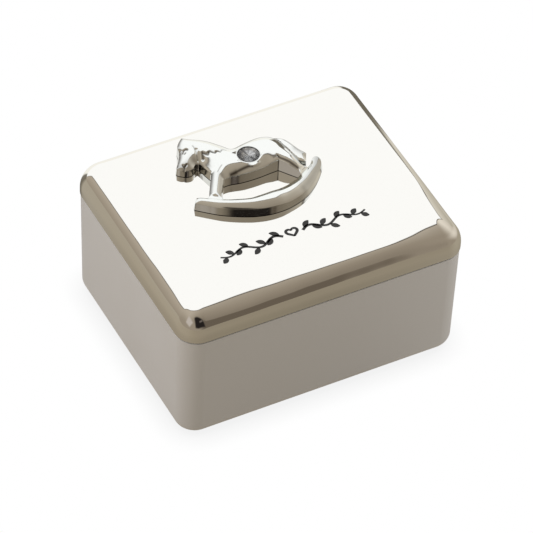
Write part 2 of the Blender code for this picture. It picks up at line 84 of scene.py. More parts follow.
def add_node(tree: NodeTree, kind: str, settings: dict | None = None, **links: object) -> Node:
    """Adds a node with its settings, its input values and its links.

    Args:
        tree: The node tree.
        kind: The node's type, without the ShaderNode that it starts with.
        settings: Values for the node's own properties.
        links: An output socket or a plain value for each input, by its name with _ for a space, or by
            its number after an i.

    Returns:
        The new node.
    """
    node = tree.nodes.new("ShaderNode" + kind)
    for name, value in (settings or {}).items():
        setattr(node, name, value)
    for name, value in links.items():
        is_number = name[0] == "i" and name[1:].isdigit()
        socket = node.inputs[int(name[1:])] if is_number else node.inputs[name.replace("_", " ")]
        if isinstance(value, NodeSocket):
            tree.links.new(value, socket)
        else:
            socket.default_value = value
    return node


def blank_material(name: str) -> tuple[Material, NodeTree, Node, NodeSocket]:
    """Makes a material with only its Principled shader and output.

    Args:
        name: The material's name.

    Returns:
        The material, its tree, its shader, and the place on the piece in metres.
    """
    material = bpy.data.materials.new(name)
    material.use_nodes = True
    tree = material.node_tree
    place = add_node(tree, "TexCoord").outputs["Object"]
    return material, tree, tree.nodes["Principled BSDF"], place


def set_inputs(shader: Node, **values: object) -> None:
    """Sets a shader's own sockets, named with _ for a space."""
    for name, value in values.items():
        shader.inputs[name.replace("_", " ")].default_value = value


# Finishes


class Polish(Enum):
    """How the silver plate was finished, as its roughness."""

    MIRROR = 0.045
    BRIGHT = 0.07
    FOIL = 0.25
    SATIN = 0.50


@dataclass(frozen=True)
class SilverPlate:
    """Silver plate on a zinc casting: a warm white metal that shows the room round it.

    The polishing wheel leaves a slow waviness, and handling a haze that varies the roughness between two
    shares of the polish. The satin has a fine blasted grain.
    """

    name: str
    polish: Polish
    colour: str = "FBFAF6"
    # Dark colour for tarnish in engraved lines, and for painted shade and painted reflections.
    tarnish_and_shade: str = "4A4238"
    metallic: float = 1.0
    wave_mm: float = 9.0
    wave_depth_mm: float = 0.04
    haze_mm: float = 6.0
    haze: tuple[float, float] = (0.85, 1.2)
    grain_mm: float = 0.09
    grain_depth_mm: float = 0.0

    def make(self) -> Material:
        """Builds the material; tarnish and painted shade sit where the mesh attribute 'recess' is high."""
        material, tree, shader, place = blank_material(self.name)
        # 'recess' holds tarnish in engraved lines, and painted shade and reflections on the horse and the
        # foil.
        recess = add_node(tree, "Attribute", {"attribute_name": "recess"}).outputs["Fac"]
        haze = add_node(tree, "TexNoise", Vector=place, Scale=1 / (self.haze_mm * MM), Detail=3.0)
        dull = add_node(
            tree, "MapRange", Value=haze.outputs["Fac"], From_Min=0.3, From_Max=0.75,
            To_Min=self.polish.value * self.haze[0], To_Max=self.polish.value * self.haze[1]
        )
        tone = add_node(
            tree, "Mix", {"data_type": "RGBA"}, i0=recess, i6=linear(self.colour), i7=linear(self.tarnish_and_shade)
        )
        tree.links.new(tone.outputs[2], shader.inputs["Base Color"])
        tree.links.new(dull.outputs["Result"], shader.inputs["Roughness"])
        wave = add_node(tree, "TexNoise", Vector=place, Scale=1 / (self.wave_mm * MM), Detail=1.0)
        bump = add_node(tree, "Bump", Height=wave.outputs["Fac"], Distance=self.wave_depth_mm * MM)
        if self.grain_depth_mm:
            grain = add_node(tree, "TexNoise", Vector=place, Scale=1 / (self.grain_mm * MM), Detail=2.0)
            bump = add_node(
                tree, "Bump", Height=grain.outputs["Fac"], Normal=bump.outputs["Normal"],
                Distance=self.grain_depth_mm * MM
            )
        tree.links.new(bump.outputs["Normal"], shader.inputs["Normal"])
        set_inputs(shader, Metallic=self.metallic)
        return material


@dataclass(frozen=True)
class Steel:
    """Drawn steel of the hinge, pins, screws and nuts: fine marks along its length over a thin plate."""

    name: str
    colour: str
    roughness: float
    marks_mm: tuple[float, float, float] = (3.33, 0.11, 0.11)

    def make(self) -> Material:
        """Builds the material with marks stretched along X."""
        material, tree, shader, place = blank_material(self.name)
        across = tuple(1 / (size * MM) for size in self.marks_mm)
        along = add_node(tree, "Mapping", Vector=place, Scale=across)
        marks = add_node(tree, "TexNoise", Vector=along.outputs["Vector"], Scale=1.0, Detail=2.0)
        dull = add_node(
            tree, "MapRange", Value=marks.outputs["Fac"], To_Min=self.roughness * 0.7,
            To_Max=self.roughness * 1.4
        )
        tree.links.new(dull.outputs["Result"], shader.inputs["Roughness"])
        set_inputs(shader, Base_Color=linear(self.colour), Metallic=1.0)
        return material


@dataclass(frozen=True)
class Pile:
    """Velvet or felt: short fibres that lie in patches, darker where they lean away."""

    name: str
    dark: str
    light: str
    patch_mm: float
    fibre_mm: float
    fibre_depth_mm: float
    sheen: float

    def make(self) -> Material:
        """Builds the material from slow patches and fine fibres."""
        material, tree, shader, place = blank_material(self.name)
        patch = add_node(tree, "TexNoise", Vector=place, Scale=1 / (self.patch_mm * MM), Detail=4.0)
        fibre = add_node(tree, "TexNoise", Vector=place, Scale=1 / (self.fibre_mm * MM), Detail=3.0)
        both = add_node(
            tree, "Math", {"operation": "MULTIPLY"}, i0=patch.outputs["Fac"], i1=fibre.outputs["Fac"]
        )
        share = add_node(tree, "MapRange", Value=both.outputs["Value"], From_Min=0.12, From_Max=0.4)
        tone = add_node(
            tree, "Mix", {"data_type": "RGBA"}, i0=share.outputs["Result"], i6=linear(self.dark),
            i7=linear(self.light)
        )
        bump = add_node(tree, "Bump", Height=fibre.outputs["Fac"], Distance=self.fibre_depth_mm * MM)
        tree.links.new(tone.outputs[2], shader.inputs["Base Color"])
        tree.links.new(bump.outputs["Normal"], shader.inputs["Normal"])
        set_inputs(shader, Roughness=0.95, Specular_IOR_Level=0.2)
        set_inputs(shader, Sheen_Weight=self.sheen, Sheen_Roughness=0.35, Sheen_Tint=linear(self.light))
        return material


@dataclass(frozen=True)
class Plain:
    """A paint, card or glass given by its Principled values, with a faint mottling of its colour."""

    name: str
    dark: str
    light: str
    roughness: float
    metallic: float = 0.0
    transmission: float = 0.0
    ior: float = 1.5
    mottle_mm: float = 0.6

    def make(self) -> Material:
        """Builds the material."""
        material, tree, shader, place = blank_material(self.name)
        mottle = add_node(tree, "TexNoise", Vector=place, Scale=1 / (self.mottle_mm * MM), Detail=3.0)
        tone = add_node(
            tree, "Mix", {"data_type": "RGBA"}, i0=mottle.outputs["Fac"], i6=linear(self.dark),
            i7=linear(self.light)
        )
        tree.links.new(tone.outputs[2], shader.inputs["Base Color"])
        set_inputs(shader, Roughness=self.roughness, Metallic=self.metallic)
        set_inputs(shader, Transmission_Weight=self.transmission, IOR=self.ior)
        return material


# The lid: silver over zinc, buffed on a wheel. It gives the eye crisp, faintly wavy pictures of the room,
# white on top and warm grey round its edge.
MIRROR_SILVER = SilverPlate("polished_silver_plate", Polish.MIRROR)
# The horse: the same plate on a cast figure, tumbled rather than buffed. Its pictures break up a little
# over the small swellings of the cast. Tarnish darkens its engraved eye and mouth, and painted shade and
# painted reflections darken its walls, the edges that face the back, the mane's grooves, the crystal's
# rim and some slopes.
HORSE_SILVER = SilverPlate(
    "cast_silver_plate", Polish.BRIGHT, colour="F9FBF8", wave_mm=2.2, wave_depth_mm=0.012
)
# The tray: silver plate blasted with fine beads and lacquered. It gives an even soft grey with no picture
# of the room, only a slow change of tone from side to side.
SATIN_SILVER = SilverPlate(
    "satin_silver_plate", Polish.SATIN, colour="E5E9F2", metallic=0.35, grain_depth_mm=0.004
)
# Hinge leaves, pin and screws: drawn and pressed steel under bright nickel. Its fine lengthwise marks
# stretch each highlight into a thin streak.
HINGE_STEEL = Steel("nickel_plated_steel", "C9C6BF", 0.22)
# Push-on nuts: stamped spring steel, heat-blued. It gives a dark blue-grey with a dull shine.
NUT_STEEL = Steel("blued_spring_steel", "4A4E57", 0.35)
# Linings: woven velvet glued over card. It gives a deep blue that turns lighter where the pile is seen
# edge-on, with soft patches where it was stroked.
NAVY_VELVET = Pile("navy_velvet", "080B1A", "26305C", 5.0, 0.12, 0.05, 0.6)
# Underside: pressed wool felt. It gives a flat black with short light fibres.
BLACK_FELT = Pile("black_felt", "080808", "262524", 3.0, 0.2, 0.08, 0.2)
# Stiffener inside the lid's pad: grey board made of waste paper. It gives a dry, matt, mottled grey.
LINING_CARD = Plain("grey_lining_card", "55524D", "6B675F", 0.9)
# The stone: moulded lead glass with polished facets. It gives small sharp sparks over a grey depth.
CUT_CRYSTAL = Plain("cut_crystal", "F8F8F8", "FFFFFF", 0.0, transmission=1.0, ior=1.5)
# Its backing: tin foil pressed round the glass. Its folds are painted dark in turn, painted shade and
# reflections of the facets that give the stone its grey spokes.
CRYSTAL_FOIL = SilverPlate("crystal_foil", Polish.FOIL, colour="E5E6E6", tarnish_and_shade="29292B")
# The scroll: enamel printed through a screen and baked. It gives a flat black line with a low shine.
LINE_ENAMEL = Plain("black_line_enamel", "1B1A19", "262422", 0.45)


# Meshes


def new_object(name: str, points: np.ndarray, faces: Iterable[Sequence[int]]) -> Object:
    """Makes a mesh object at the origin, with its doubles merged and its faces turned outwards.

    Args:
        name: The object's name.
        points: Its points in metres.
        faces: The point numbers of each face.

    Returns:
        The object.
    """
    mesh = bpy.data.meshes.new(name)
    mesh.from_pydata(np.asarray(points).tolist(), [], [list(face) for face in faces])
    bm = bmesh.new()
    bm.from_mesh(mesh)
    bmesh.ops.remove_doubles(bm, verts=bm.verts, dist=MERGE)
    bmesh.ops.recalc_face_normals(bm, faces=bm.faces)
    bm.to_mesh(mesh)
    bm.free()
    obj = bpy.data.objects.new(name, mesh)
    bpy.context.scene.collection.objects.link(obj)
    return obj


def grid_faces(rows: int, columns: int, closed: bool) -> np.ndarray:
    """Numbers the quads of a grid of points.

    Args:
        rows: Points along the first parameter.
        columns: Points along the second parameter.
        closed: Whether the second parameter runs round and meets itself.

    Returns:
        An array of four point numbers a quad.
    """
    i, j = np.meshgrid(np.arange(rows - 1), np.arange(columns if closed else columns - 1), indexing="ij")
    k = (j + 1) % columns
    return np.stack(
        [i * columns + j, i * columns + k, (i + 1) * columns + k, (i + 1) * columns + j], -1
    ).reshape(-1, 4)


def smooth(obj: Object, angle: float) -> None:
    """Shades an object smooth, with its large faces kept flat.

    Args:
        obj: The object.
        angle: The angle in degrees from which an edge stays sharp.
    """
    obj.data.shade_smooth()
    obj.data.set_sharp_from_angle(angle=math.radians(angle))
    weighted = obj.modifiers.new("flat faces first", "WEIGHTED_NORMAL")
    weighted.keep_sharp = True
    weighted.weight = 100


def cut(obj: Object, cutters: Sequence[Object], operation: str = "DIFFERENCE") -> None:
    """Cuts an object with others, or joins it to them, and removes them.

    Args:
        obj: The object that stays.
        cutters: The others.
        operation: The name of the boolean operation.
    """
    for cutter in cutters:
        modifier = obj.modifiers.new(cutter.name, "BOOLEAN")
        modifier.operation = operation
        modifier.object = cutter
        modifier.solver = "EXACT"
    bpy.context.view_layer.update()
    graph = bpy.context.evaluated_depsgraph_get()
    mesh = bpy.data.meshes.new_from_object(obj.evaluated_get(graph))
    obj.modifiers.clear()
    obj.data = mesh
    for cutter in cutters:
        bpy.data.objects.remove(cutter, do_unlink=True)


def prism(name: str, outline: np.ndarray, start: float, stop: float) -> Object:
    """Carries an outline along X: two rows of its points, joined by quads and closed by two caps.

    Args:
        name: The object's name.
        outline: The outline's (y, z) points.
        start: Where it starts on X.
        stop: Where it ends.

    Returns:
        The object.
    """
    count = len(outline)
    rows = [np.column_stack([np.full(count, x), outline]) for x in (start, stop)]
    faces = grid_faces(2, count, True).tolist()
    faces += [list(range(count)), list(range(count, 2 * count))]
    return new_object(name, np.vstack(rows), faces)


def circle(radius: float, steps: int) -> np.ndarray:
    """Gives points round a circle: radius times the cosine and sine of equal angles."""
    angle = np.linspace(0, 2 * math.pi, steps, endpoint=False)
    return radius * np.column_stack([np.cos(angle), np.sin(angle)])


def turned(name: str, profile: np.ndarray, steps: int) -> Object:
    """Turns a profile about Z: x and y are the radius times an angle's cosine and sine.

    Args:
        name: The object's name.
        profile: The (radius, z) points, from one cap to the other.
        steps: How many sides it has.

    Returns:
        The object.
    """
    ring = circle(1.0, steps)
    points = np.concatenate(
        [profile[:, None, :1] * ring[None], np.repeat(profile[:, None, 1:], steps, axis=1)], axis=2
    )
    faces = grid_faces(len(profile), steps, True).tolist()
    faces += [list(range(steps)), list(range((len(profile) - 1) * steps, len(profile) * steps))]
    return new_object(name, points.reshape(-1, 3), faces)


def placed(obj: Object, matrix: Matrix) -> Object:
    """Moves an object's mesh, so that the object itself stays at the origin."""
    obj.data.transform(matrix)
    return obj


def block(name: str, low: Sequence[float], high: Sequence[float]) -> Object:
    """Makes a cutter with flat sides between two corners."""
    outline = np.array([(low[1], low[2]), (high[1], low[2]), (high[1], high[2]), (low[1], high[2])])
    return prism(name, outline, low[0], high[0])


def dress(obj: Object, material: Material, body: str, slot: str, *nodes: str) -> None:
    """Gives a piece its material and its body, and hides the nodes that it stands for.

    Args:
        obj: The piece.
        material: Its material.
        body: The body that it rides on.
        slot: The record's material slot; not used.
        nodes: The nodes that it stands for.
    """
    obj.data.materials.clear()
    obj.data.materials.append(material)
    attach(obj, body)
    if nodes:
        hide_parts(*nodes)
    LOG.info("%s: %d faces on %s", obj.name, len(obj.data.polygons), body)


def store_tarnish_and_shade(obj: Object, recess: np.ndarray) -> None:
    """Stores how dark each point is as the attribute that the plate's material reads."""
    # The values hold tarnish in engraved lines, and painted shade and painted reflections.
    attribute = obj.data.attributes.new("recess", "FLOAT", "POINT")
    attribute.data.foreach_set("value", recess.astype(np.float32))


def middle_of(node: str) -> Vector:
    """Gives the middle of a node's box."""
    return sum(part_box(node), Vector()) / 2


def over(node: str) -> Matrix:
    """Gives the move from the origin to the middle of a node's plan."""
    return Matrix.Translation((*middle_of(node).xy, 0.0))


# Castings of the box


@dataclass(frozen=True)
class WornEdge:
    """Where the polishing wheel took more off the lid's round edge, in millimetres.

    A spot is (x, y, depth, deepest, reach). Near it the surface lies lower by depth times a half cosine
    that grows over the inset up to `deepest`, times one that fades again over the reach.
    """

    spots: tuple
    spread: float = 1.9

    def drop(self, rings: np.ndarray, inset: np.ndarray) -> np.ndarray:
        """Gives how much lower each ring point lies: the spots' values, weighted by a Gaussian of nearness.

        Args:
            rings: The points, ring by ring.
            inset: How far each ring is drawn in.

        Returns:
            The drop of each point in metres.
        """
        spots = np.array(self.spots)
        apart = ((rings[..., None, :2] / MM - spots[:, :2]) ** 2).sum(-1)
        weight = np.exp(-apart / (2 * self.spread**2)) + 1e-12
        depth, deepest, reach = np.moveaxis(weight @ spots[:, 2:] / weight.sum(-1)[..., None], -1, 0)
        at = inset[:, None] / MM
        grow = np.clip(at / deepest, 0, 1)
        fade = np.clip((at - deepest) / reach, 0, 1)
        return depth * MM * (1 - np.cos(math.pi * grow)) / 2 * (1 + np.cos(math.pi * fade)) / 2


@dataclass
class RoundedPlan:
    """The plan of the box: a rectangle whose corners tighten as it is drawn in, in metres."""

    half_x: float
    half_y: float
    corner: float = 4.1 * MM
    shrink: float = 0.8
    least: float = 0.3 * MM
    steps: int = 20
    side_steps: int = 1

    def rings(self, inset: np.ndarray, height: np.ndarray) -> np.ndarray:
        """Gives one closed ring for each inset and height.

        A ring's corner is an arc of radius corner - shrink * inset about a centre that far in from both
        sides; the arcs of the four corners follow each other round, with points shared along the sides.

        Args:
            inset: How far each ring is drawn in from the outer sides.
            height: Each ring's Z.

        Returns:
            The points, by ring, point and axis.
        """
        radius = np.maximum(self.corner - self.shrink * inset, self.least)[:, None]
        quarter = np.linspace(0, math.pi / 2, self.steps + 1)
        angle = np.concatenate([quarter + math.pi / 2 * side for side in range(4)])
        sign_x = np.repeat([1, -1, -1, 1], self.steps + 1)
        sign_y = np.repeat([1, 1, -1, -1], self.steps + 1)
        x = sign_x * (self.half_x - inset[:, None] - radius) + radius * np.cos(angle)
        y = sign_y * (self.half_y - inset[:, None] - radius) + radius * np.sin(angle)
        z = np.broadcast_to(height[:, None], x.shape)
        corners = np.stack([x, y, z], -1).reshape(len(inset), 4, self.steps + 1, 3)
        share = np.linspace(0, 1, self.side_steps + 1)[1:-1, None]
        sides = corners[:, :, -1:] * (1 - share) + np.roll(corners, -1, axis=1)[:, :, :1] * share
        return np.concatenate([corners, sides], axis=2).reshape(len(inset), -1, 3)

    def loft(
        self, name: str, profile: Sequence[tuple[float, float]], worn: WornEdge | None = None,
        inner: int = 0
    ) -> Object:
        """Carries a profile round the plan and closes it.

        Args:
            name: The object's name.
            profile: The (inset, height) points, from the inside over the edge.
            worn: What the wheel took off, if anything.
            inner: How many points of the profile lie inside, where nothing is worn.

        Returns:
            The object.
        """
        line = np.array(profile)
        rings = self.rings(line[:, 0], line[:, 1])
        if worn:
            rings[inner:, :, 2] -= worn.drop(rings[inner:], line[inner:, 0])
        rows, columns = rings.shape[:2]
        faces = grid_faces(rows, columns, True).tolist()
        faces += [list(range(columns)), list(range((rows - 1) * columns, rows * columns))]
        return new_object(name, rings.reshape(-1, 3), faces)


def arc(centre: tuple[float, float], radius: float, first: float, last: float, steps: int) -> list:
    """Lists points along an arc: the centre plus the radius times an angle's cosine and sine.

    Args:
        centre: Its centre's inset and height.
        radius: Its radius.
        first: The angle in degrees at which it starts.
        last: The angle at which it ends.
        steps: How many stretches it has.

    Returns:
        The (inset, height) points.
    """
    angle = np.radians(np.linspace(first, last, steps + 1))
    return (np.array(centre) + radius * np.column_stack([np.cos(angle), np.sin(angle)])).tolist()


@dataclass
class HingeFit:
    """What the hinge takes out of the two castings, measured from its own nodes."""

    clearance: float = 0.3 * MM
    relief: float = 0.1 * MM
    groove_angle: float = 52.0
    groove_reach: float = 0.1
    leaf: float = 0.5 * MM
    shank: float = 0.5 * MM
    spare: float = 0.05 * MM
    reach: float = 2.0 * MM

    def axis(self) -> tuple[float, float]:
        """Gives the Y and Z of the hinge line from the joint."""
        joint = frame["joints"][0]
        return joint["pos_m"][1], joint["pos_m"][2]

    def cutters(self, leaf: str, screws: Sequence[str]) -> list[Object]:
        """Makes the groove, the barrel's pocket, the leaf's seat and the screw holes.

        Args:
            leaf: The node of the leaf that is let in.
            screws: The nodes of its screws.

        Returns:
            The cutters.
        """
        y, z = self.axis()
        low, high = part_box(leaf)
        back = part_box("lid_shell")[1].y
        barrel = back - y
        slope = math.tan(math.radians(self.groove_angle))
        apex = y - self.relief / math.sin(math.radians(self.groove_angle))
        mouth = back + self.clearance
        rise = (mouth - apex) * slope
        groove = np.array([(apex, z), (mouth, z - rise), (mouth, z + rise)])
        pin_low, pin_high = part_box("hinge_pin")
        pocket = circle(barrel + self.clearance, 48) + (y, z)
        far = low.z - self.clearance if leaf.endswith("base") else high.z + self.clearance
        face = min(low.y, high.y)
        seat_back = face + self.leaf + self.clearance
        made = [
            prism("cut_groove", groove, -self.groove_reach, self.groove_reach),
            prism("cut_pocket", pocket, pin_low.x - self.clearance, pin_high.x + self.clearance),
            block(
                "cut_seat", (low.x - self.clearance, face - self.reach, min(z, far)),
                (high.x + self.clearance, seat_back, max(z, far))
            )
        ]
        for screw in screws:
            middle, start = middle_of(screw), face - self.reach
            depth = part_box(screw)[1].y + self.spare - start
            hole = turned("cut_screw", np.array([(self.shank, 0.0), (self.shank, depth)]), 24)
            turn = Matrix.Rotation(-math.pi / 2, 4, "X")
            made.append(placed(hole, Matrix.Translation((middle.x, start, middle.z)) @ turn))
        return made


@dataclass
class BaseTray:
    """The satin casting that holds the keepsake: drafted walls over a rounded foot with a felt seat."""

    wall: float = 1.8 * MM
    floor: float = 1.6 * MM
    step: float = 0.14 * MM
    draft: float = 0.28 * MM
    foot_radius: float = 2.6 * MM
    felt_border: float = 3.7 * MM
    felt_depth: float = 0.5 * MM
    lip_round: float = 0.12 * MM
    floor_chamfer: float = 0.3 * MM

    def build(self, material: Material, hinge: HingeFit) -> None:
        """Lofts the tray and cuts the hinge's seat.

        Args:
            material: The satin plate.
            hinge: What the hinge takes out.
        """
        low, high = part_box("base_shell")
        lid_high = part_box("lid_shell")[1]
        foot = self.step + self.draft
        profile = [(self.felt_border, low.z + self.felt_depth), (self.felt_border, low.z)]
        profile += arc((foot + self.foot_radius, low.z + self.foot_radius), self.foot_radius, 270, 180, 24)
        top = self.step + self.lip_round
        profile += arc((top, high.z - self.lip_round), self.lip_round, 180, 90, 4)
        profile += [(self.wall, high.z), (self.wall, low.z + self.floor + self.floor_chamfer)]
        profile += [(self.wall + self.floor_chamfer, low.z + self.floor)]
        tray = RoundedPlan(lid_high.x, lid_high.y).loft("base_tray", profile)
        screws = ("hinge_screw_base_left", "hinge_screw_base_right")
        cut(tray, hinge.cutters("hinge_leaf_base", screws))
        smooth(tray, 35)
        dress(tray, material, "base", "satin_silver", "base_shell")


@dataclass
class Lid:
    """The polished casting: a short skirt that turns over through a wide round edge into a flat top."""

    wall: float = 1.8 * MM
    roof: float = 1.6 * MM
    roof_chamfer: float = 1.7 * MM
    edge_radius: float = 5.1 * MM
    rim_round: float = 0.1 * MM
    stud_hole: float = 1.0 * MM
    side_steps: int = 36
    flat_rings: int = 14
    flat_reach: float = 3.6 * MM
    worn: WornEdge = WornEdge(
        (
            (23.6, -18.3, 0.62, 1.6, 3.9), (24.0, -15.0, 0.6, 1.6, 3.9), (24.0, -12.2, 0.42, 1.7, 3.6),
            (24.0, -9.2, 0.16, 1.9, 3.2), (24.0, -5.6, 0.03, 2.2, 2.9), (24.0, 0.0, 0.0, 2.2, 2.9),
            (24.0, 8.0, 0.0, 2.2, 2.9), (24.0, 17.0, 0.0, 2.2, 2.9), (21.3, -19.5, 0.45, 1.7, 3.6),
            (18.3, -19.5, 0.08, 2.0, 3.1), (13.0, -19.5, 0.0, 2.2, 2.9), (6.0, -19.5, 0.0, 2.2, 2.9),
            (-1.0, -19.5, 0.06, 2.2, 2.9), (-8.0, -19.5, 0.13, 2.2, 2.9), (-16.0, -19.5, 0.21, 2.2, 2.9),
            (-21.0, -19.5, 0.14, 2.2, 2.9), (-24.2, -18.3, 0.0, 2.0, 2.9), (-24.6, -14.5, 0.09, 1.3, 2.6),
            (-24.6, -10.0, 0.07, 1.2, 2.6), (-24.6, -4.0, 0.02, 1.2, 2.6), (-24.6, 4.0, 0.0, 1.2, 2.6),
            (-24.6, 12.0, 0.0, 1.2, 2.6), (-24.0, 19.0, 0.0, 1.2, 2.6), (-10.0, 20.0, 0.0, 1.2, 2.6),
            (10.0, 20.0, 0.0, 1.2, 2.6)
        )
    )

    def build(self, material: Material, hinge: HingeFit) -> None:
        """Lofts the lid and cuts the hinge's seat and the holes for the horse's studs.

        Args:
            material: The polished plate.
            hinge: What the hinge takes out.
        """
        low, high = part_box("lid_shell")
        roof = high.z - self.roof
        profile = [(self.wall + self.roof_chamfer, roof), (self.wall, roof - self.roof_chamfer)]
        profile += [(self.wall, low.z)]
        profile += arc((self.rim_round, low.z + self.rim_round), self.rim_round, 270, 180, 4)
        profile += arc((self.edge_radius, high.z - self.edge_radius), self.edge_radius, 180, 90, 40)
        top = np.linspace(self.edge_radius, self.edge_radius + self.flat_reach, self.flat_rings + 1)[1:]
        profile += [(inset, high.z) for inset in top]
        plan = RoundedPlan(high.x, high.y, side_steps=self.side_steps)
        lid = plan.loft("lid", profile, self.worn, inner=3)
        made = hinge.cutters("hinge_leaf_lid", ("hinge_screw_lid_left", "hinge_screw_lid_right"))
        for nut in ("horse_nut_body", "horse_nut_rocker"):
            ends = np.array([(self.stud_hole, roof - MM), (self.stud_hole, high.z + MM)])
            made.append(placed(turned("cut_stud", ends, 32), over(nut)))
        cut(lid, made)
        smooth(lid, 35)
        dress(lid, material, "lid", "polished_silver", "lid_shell")


# Rocking horse, drawn in millimetres on the lid


def spline(outline: Sequence[tuple], spacing: float) -> np.ndarray:
    """Rounds a closed outline through its points, leaving those with a third value sharp.

    Each stretch is a cubic whose slope at a point is half the step between its neighbours. The result
    is read again at equal distances.

    Args:
        outline: Points in order, as (x, y) or (x, y, True) for a corner.
        spacing: Distance between the points that come back.

    Returns:
        Points along the curve.
    """
    knots = np.array([point[:2] for point in outline], float)
    sharp = np.array([len(point) > 2 for point in outline])[:, None]
    after = np.roll(knots, -1, axis=0)
    before_slope = np.where(sharp, knots, np.roll(knots, 1, axis=0))
    beyond = np.where(np.roll(sharp, -1, axis=0), after, np.roll(knots, -2, axis=0))
    leave = ((after - before_slope) / 2)[:, None, :]
    arrive = ((beyond - knots) / 2)[:, None, :]
    t = np.linspace(0, 1, 24, endpoint=False)[None, :, None]
    blend = t * t * (3 - 2 * t)
    slopes = t * (1 - t) ** 2 * leave - t * t * (1 - t) * arrive
    curve = (knots[:, None, :] * (1 - blend) + after[:, None, :] * blend + slopes).reshape(-1, 2)
    return resampled(curve, spacing)


def resampled(curve: np.ndarray, spacing: float) -> np.ndarray:
    """Reads a closed line again at equal distances along it.

    Args:
        curve: The line's points.
        spacing: Nearly the distance between the points that come back.

    Returns:
        The new points.
    """
    closed = np.vstack([curve, curve[:1]])
    along = np.concatenate([[0.0], np.cumsum(np.linalg.norm(np.diff(closed, axis=0), axis=1))])
    count = max(int(round(along[-1] / spacing)), 8)
    at = np.linspace(0, along[-1], count, endpoint=False)
    return np.column_stack([np.interp(at, along, closed[:, axis]) for axis in (0, 1)])


def line_distance(places: np.ndarray, start: np.ndarray, step: np.ndarray) -> np.ndarray:
    """Gives each place's distance to the nearest of some straight stretches.

    Args:
        places: The places.
        start: Where each stretch starts.
        step: What leads from there to its end.

    Returns:
        The distances.
    """
    offset = places[:, None, :] - start[None, :, :]
    along = np.clip((offset * step).sum(2) / np.maximum((step * step).sum(1), 1e-12), 0.0, 1.0)
    return np.linalg.norm(offset - along[:, :, None] * step, axis=2).min(1)


def depth_inside(places: np.ndarray, outline: np.ndarray) -> np.ndarray:
    """Gives how far each place lies inside a closed outline, negative outside.

    The sign comes from how often a line to the right crosses the outline. The places are worked out some
    thousands at a time, which keeps the arrays small.

    Args:
        places: The places.
        outline: The outline's points.

    Returns:
        The depths.
    """
    step = np.roll(outline, -1, axis=0) - outline
    level = np.where(step[:, 1] == 0, 1.0, step[:, 1])
    result = []
    for part in np.array_split(places, max(len(places) // 6000, 1)):
        offset = part[:, None, :] - outline[None, :, :]
        spans = (offset[:, :, 1] >= 0) != (offset[:, :, 1] >= step[:, 1])
        crossed = spans & (offset[:, :, 1] / level * step[:, 0] > offset[:, :, 0])
        distance = line_distance(part, outline, step)
        result.append(np.where(crossed.sum(1) % 2 == 1, distance, -distance))
    return np.concatenate(result)


@dataclass
class Figure:
    """One part of the relief: its outline, its named heights, and how its top rounds in from the edge.

    A spot is (x, y, wall, rise): near that place the wall is so high and the top rises so far over it.
    """

    outline: np.ndarray
    spots: tuple
    slope: float
    fullness: float
    draft: float
    # How dark the painted reflection is along the edges that face the back.
    painted_edge_shade: float
    spread: float = 1.5

    def sizes(self, places: np.ndarray) -> tuple[np.ndarray, np.ndarray]:
        """Gives the wall and the rise at places: the spots' values, weighted by a Gaussian of nearness.

        Args:
            places: The places.

        Returns:
            Each place's wall and rise.
        """
        spots = np.array(self.spots)
        apart = ((places[:, None, :] - spots[None, :, :2]) ** 2).sum(2)
        weight = np.exp(-apart / (2 * self.spread**2)) + 1e-9
        mixed = weight @ spots[:, 2:] / weight.sum(1)[:, None]
        return mixed[:, 0], mixed[:, 1]

    def height(self, depth: np.ndarray, places: np.ndarray) -> np.ndarray:
        """Gives the height at a depth inside the outline: wall + rise (1 - (1 - t)^fullness).

        t is the depth beyond the draft, times slope / (rise fullness), so the top starts at the slope.

        Args:
            depth: How deep each place lies.
            places: The places.

        Returns:
            Each place's height.
        """
        wall, rise = self.sizes(places)
        t = np.clip((depth - self.draft) * self.slope / (rise * self.fullness), 0.0, 1.0)
        return wall + rise * (1 - (1 - t) ** self.fullness)


@dataclass(frozen=True)
class Mark:
    """A line pressed into the casting, or raised from it where its depth is negative, in millimetres."""

    points: tuple
    width: float
    depth: float
    # Share of the dark colour: tarnish in engraved lines, painted shade and reflections in the others.
    tarnish_and_shade: float = 0.0


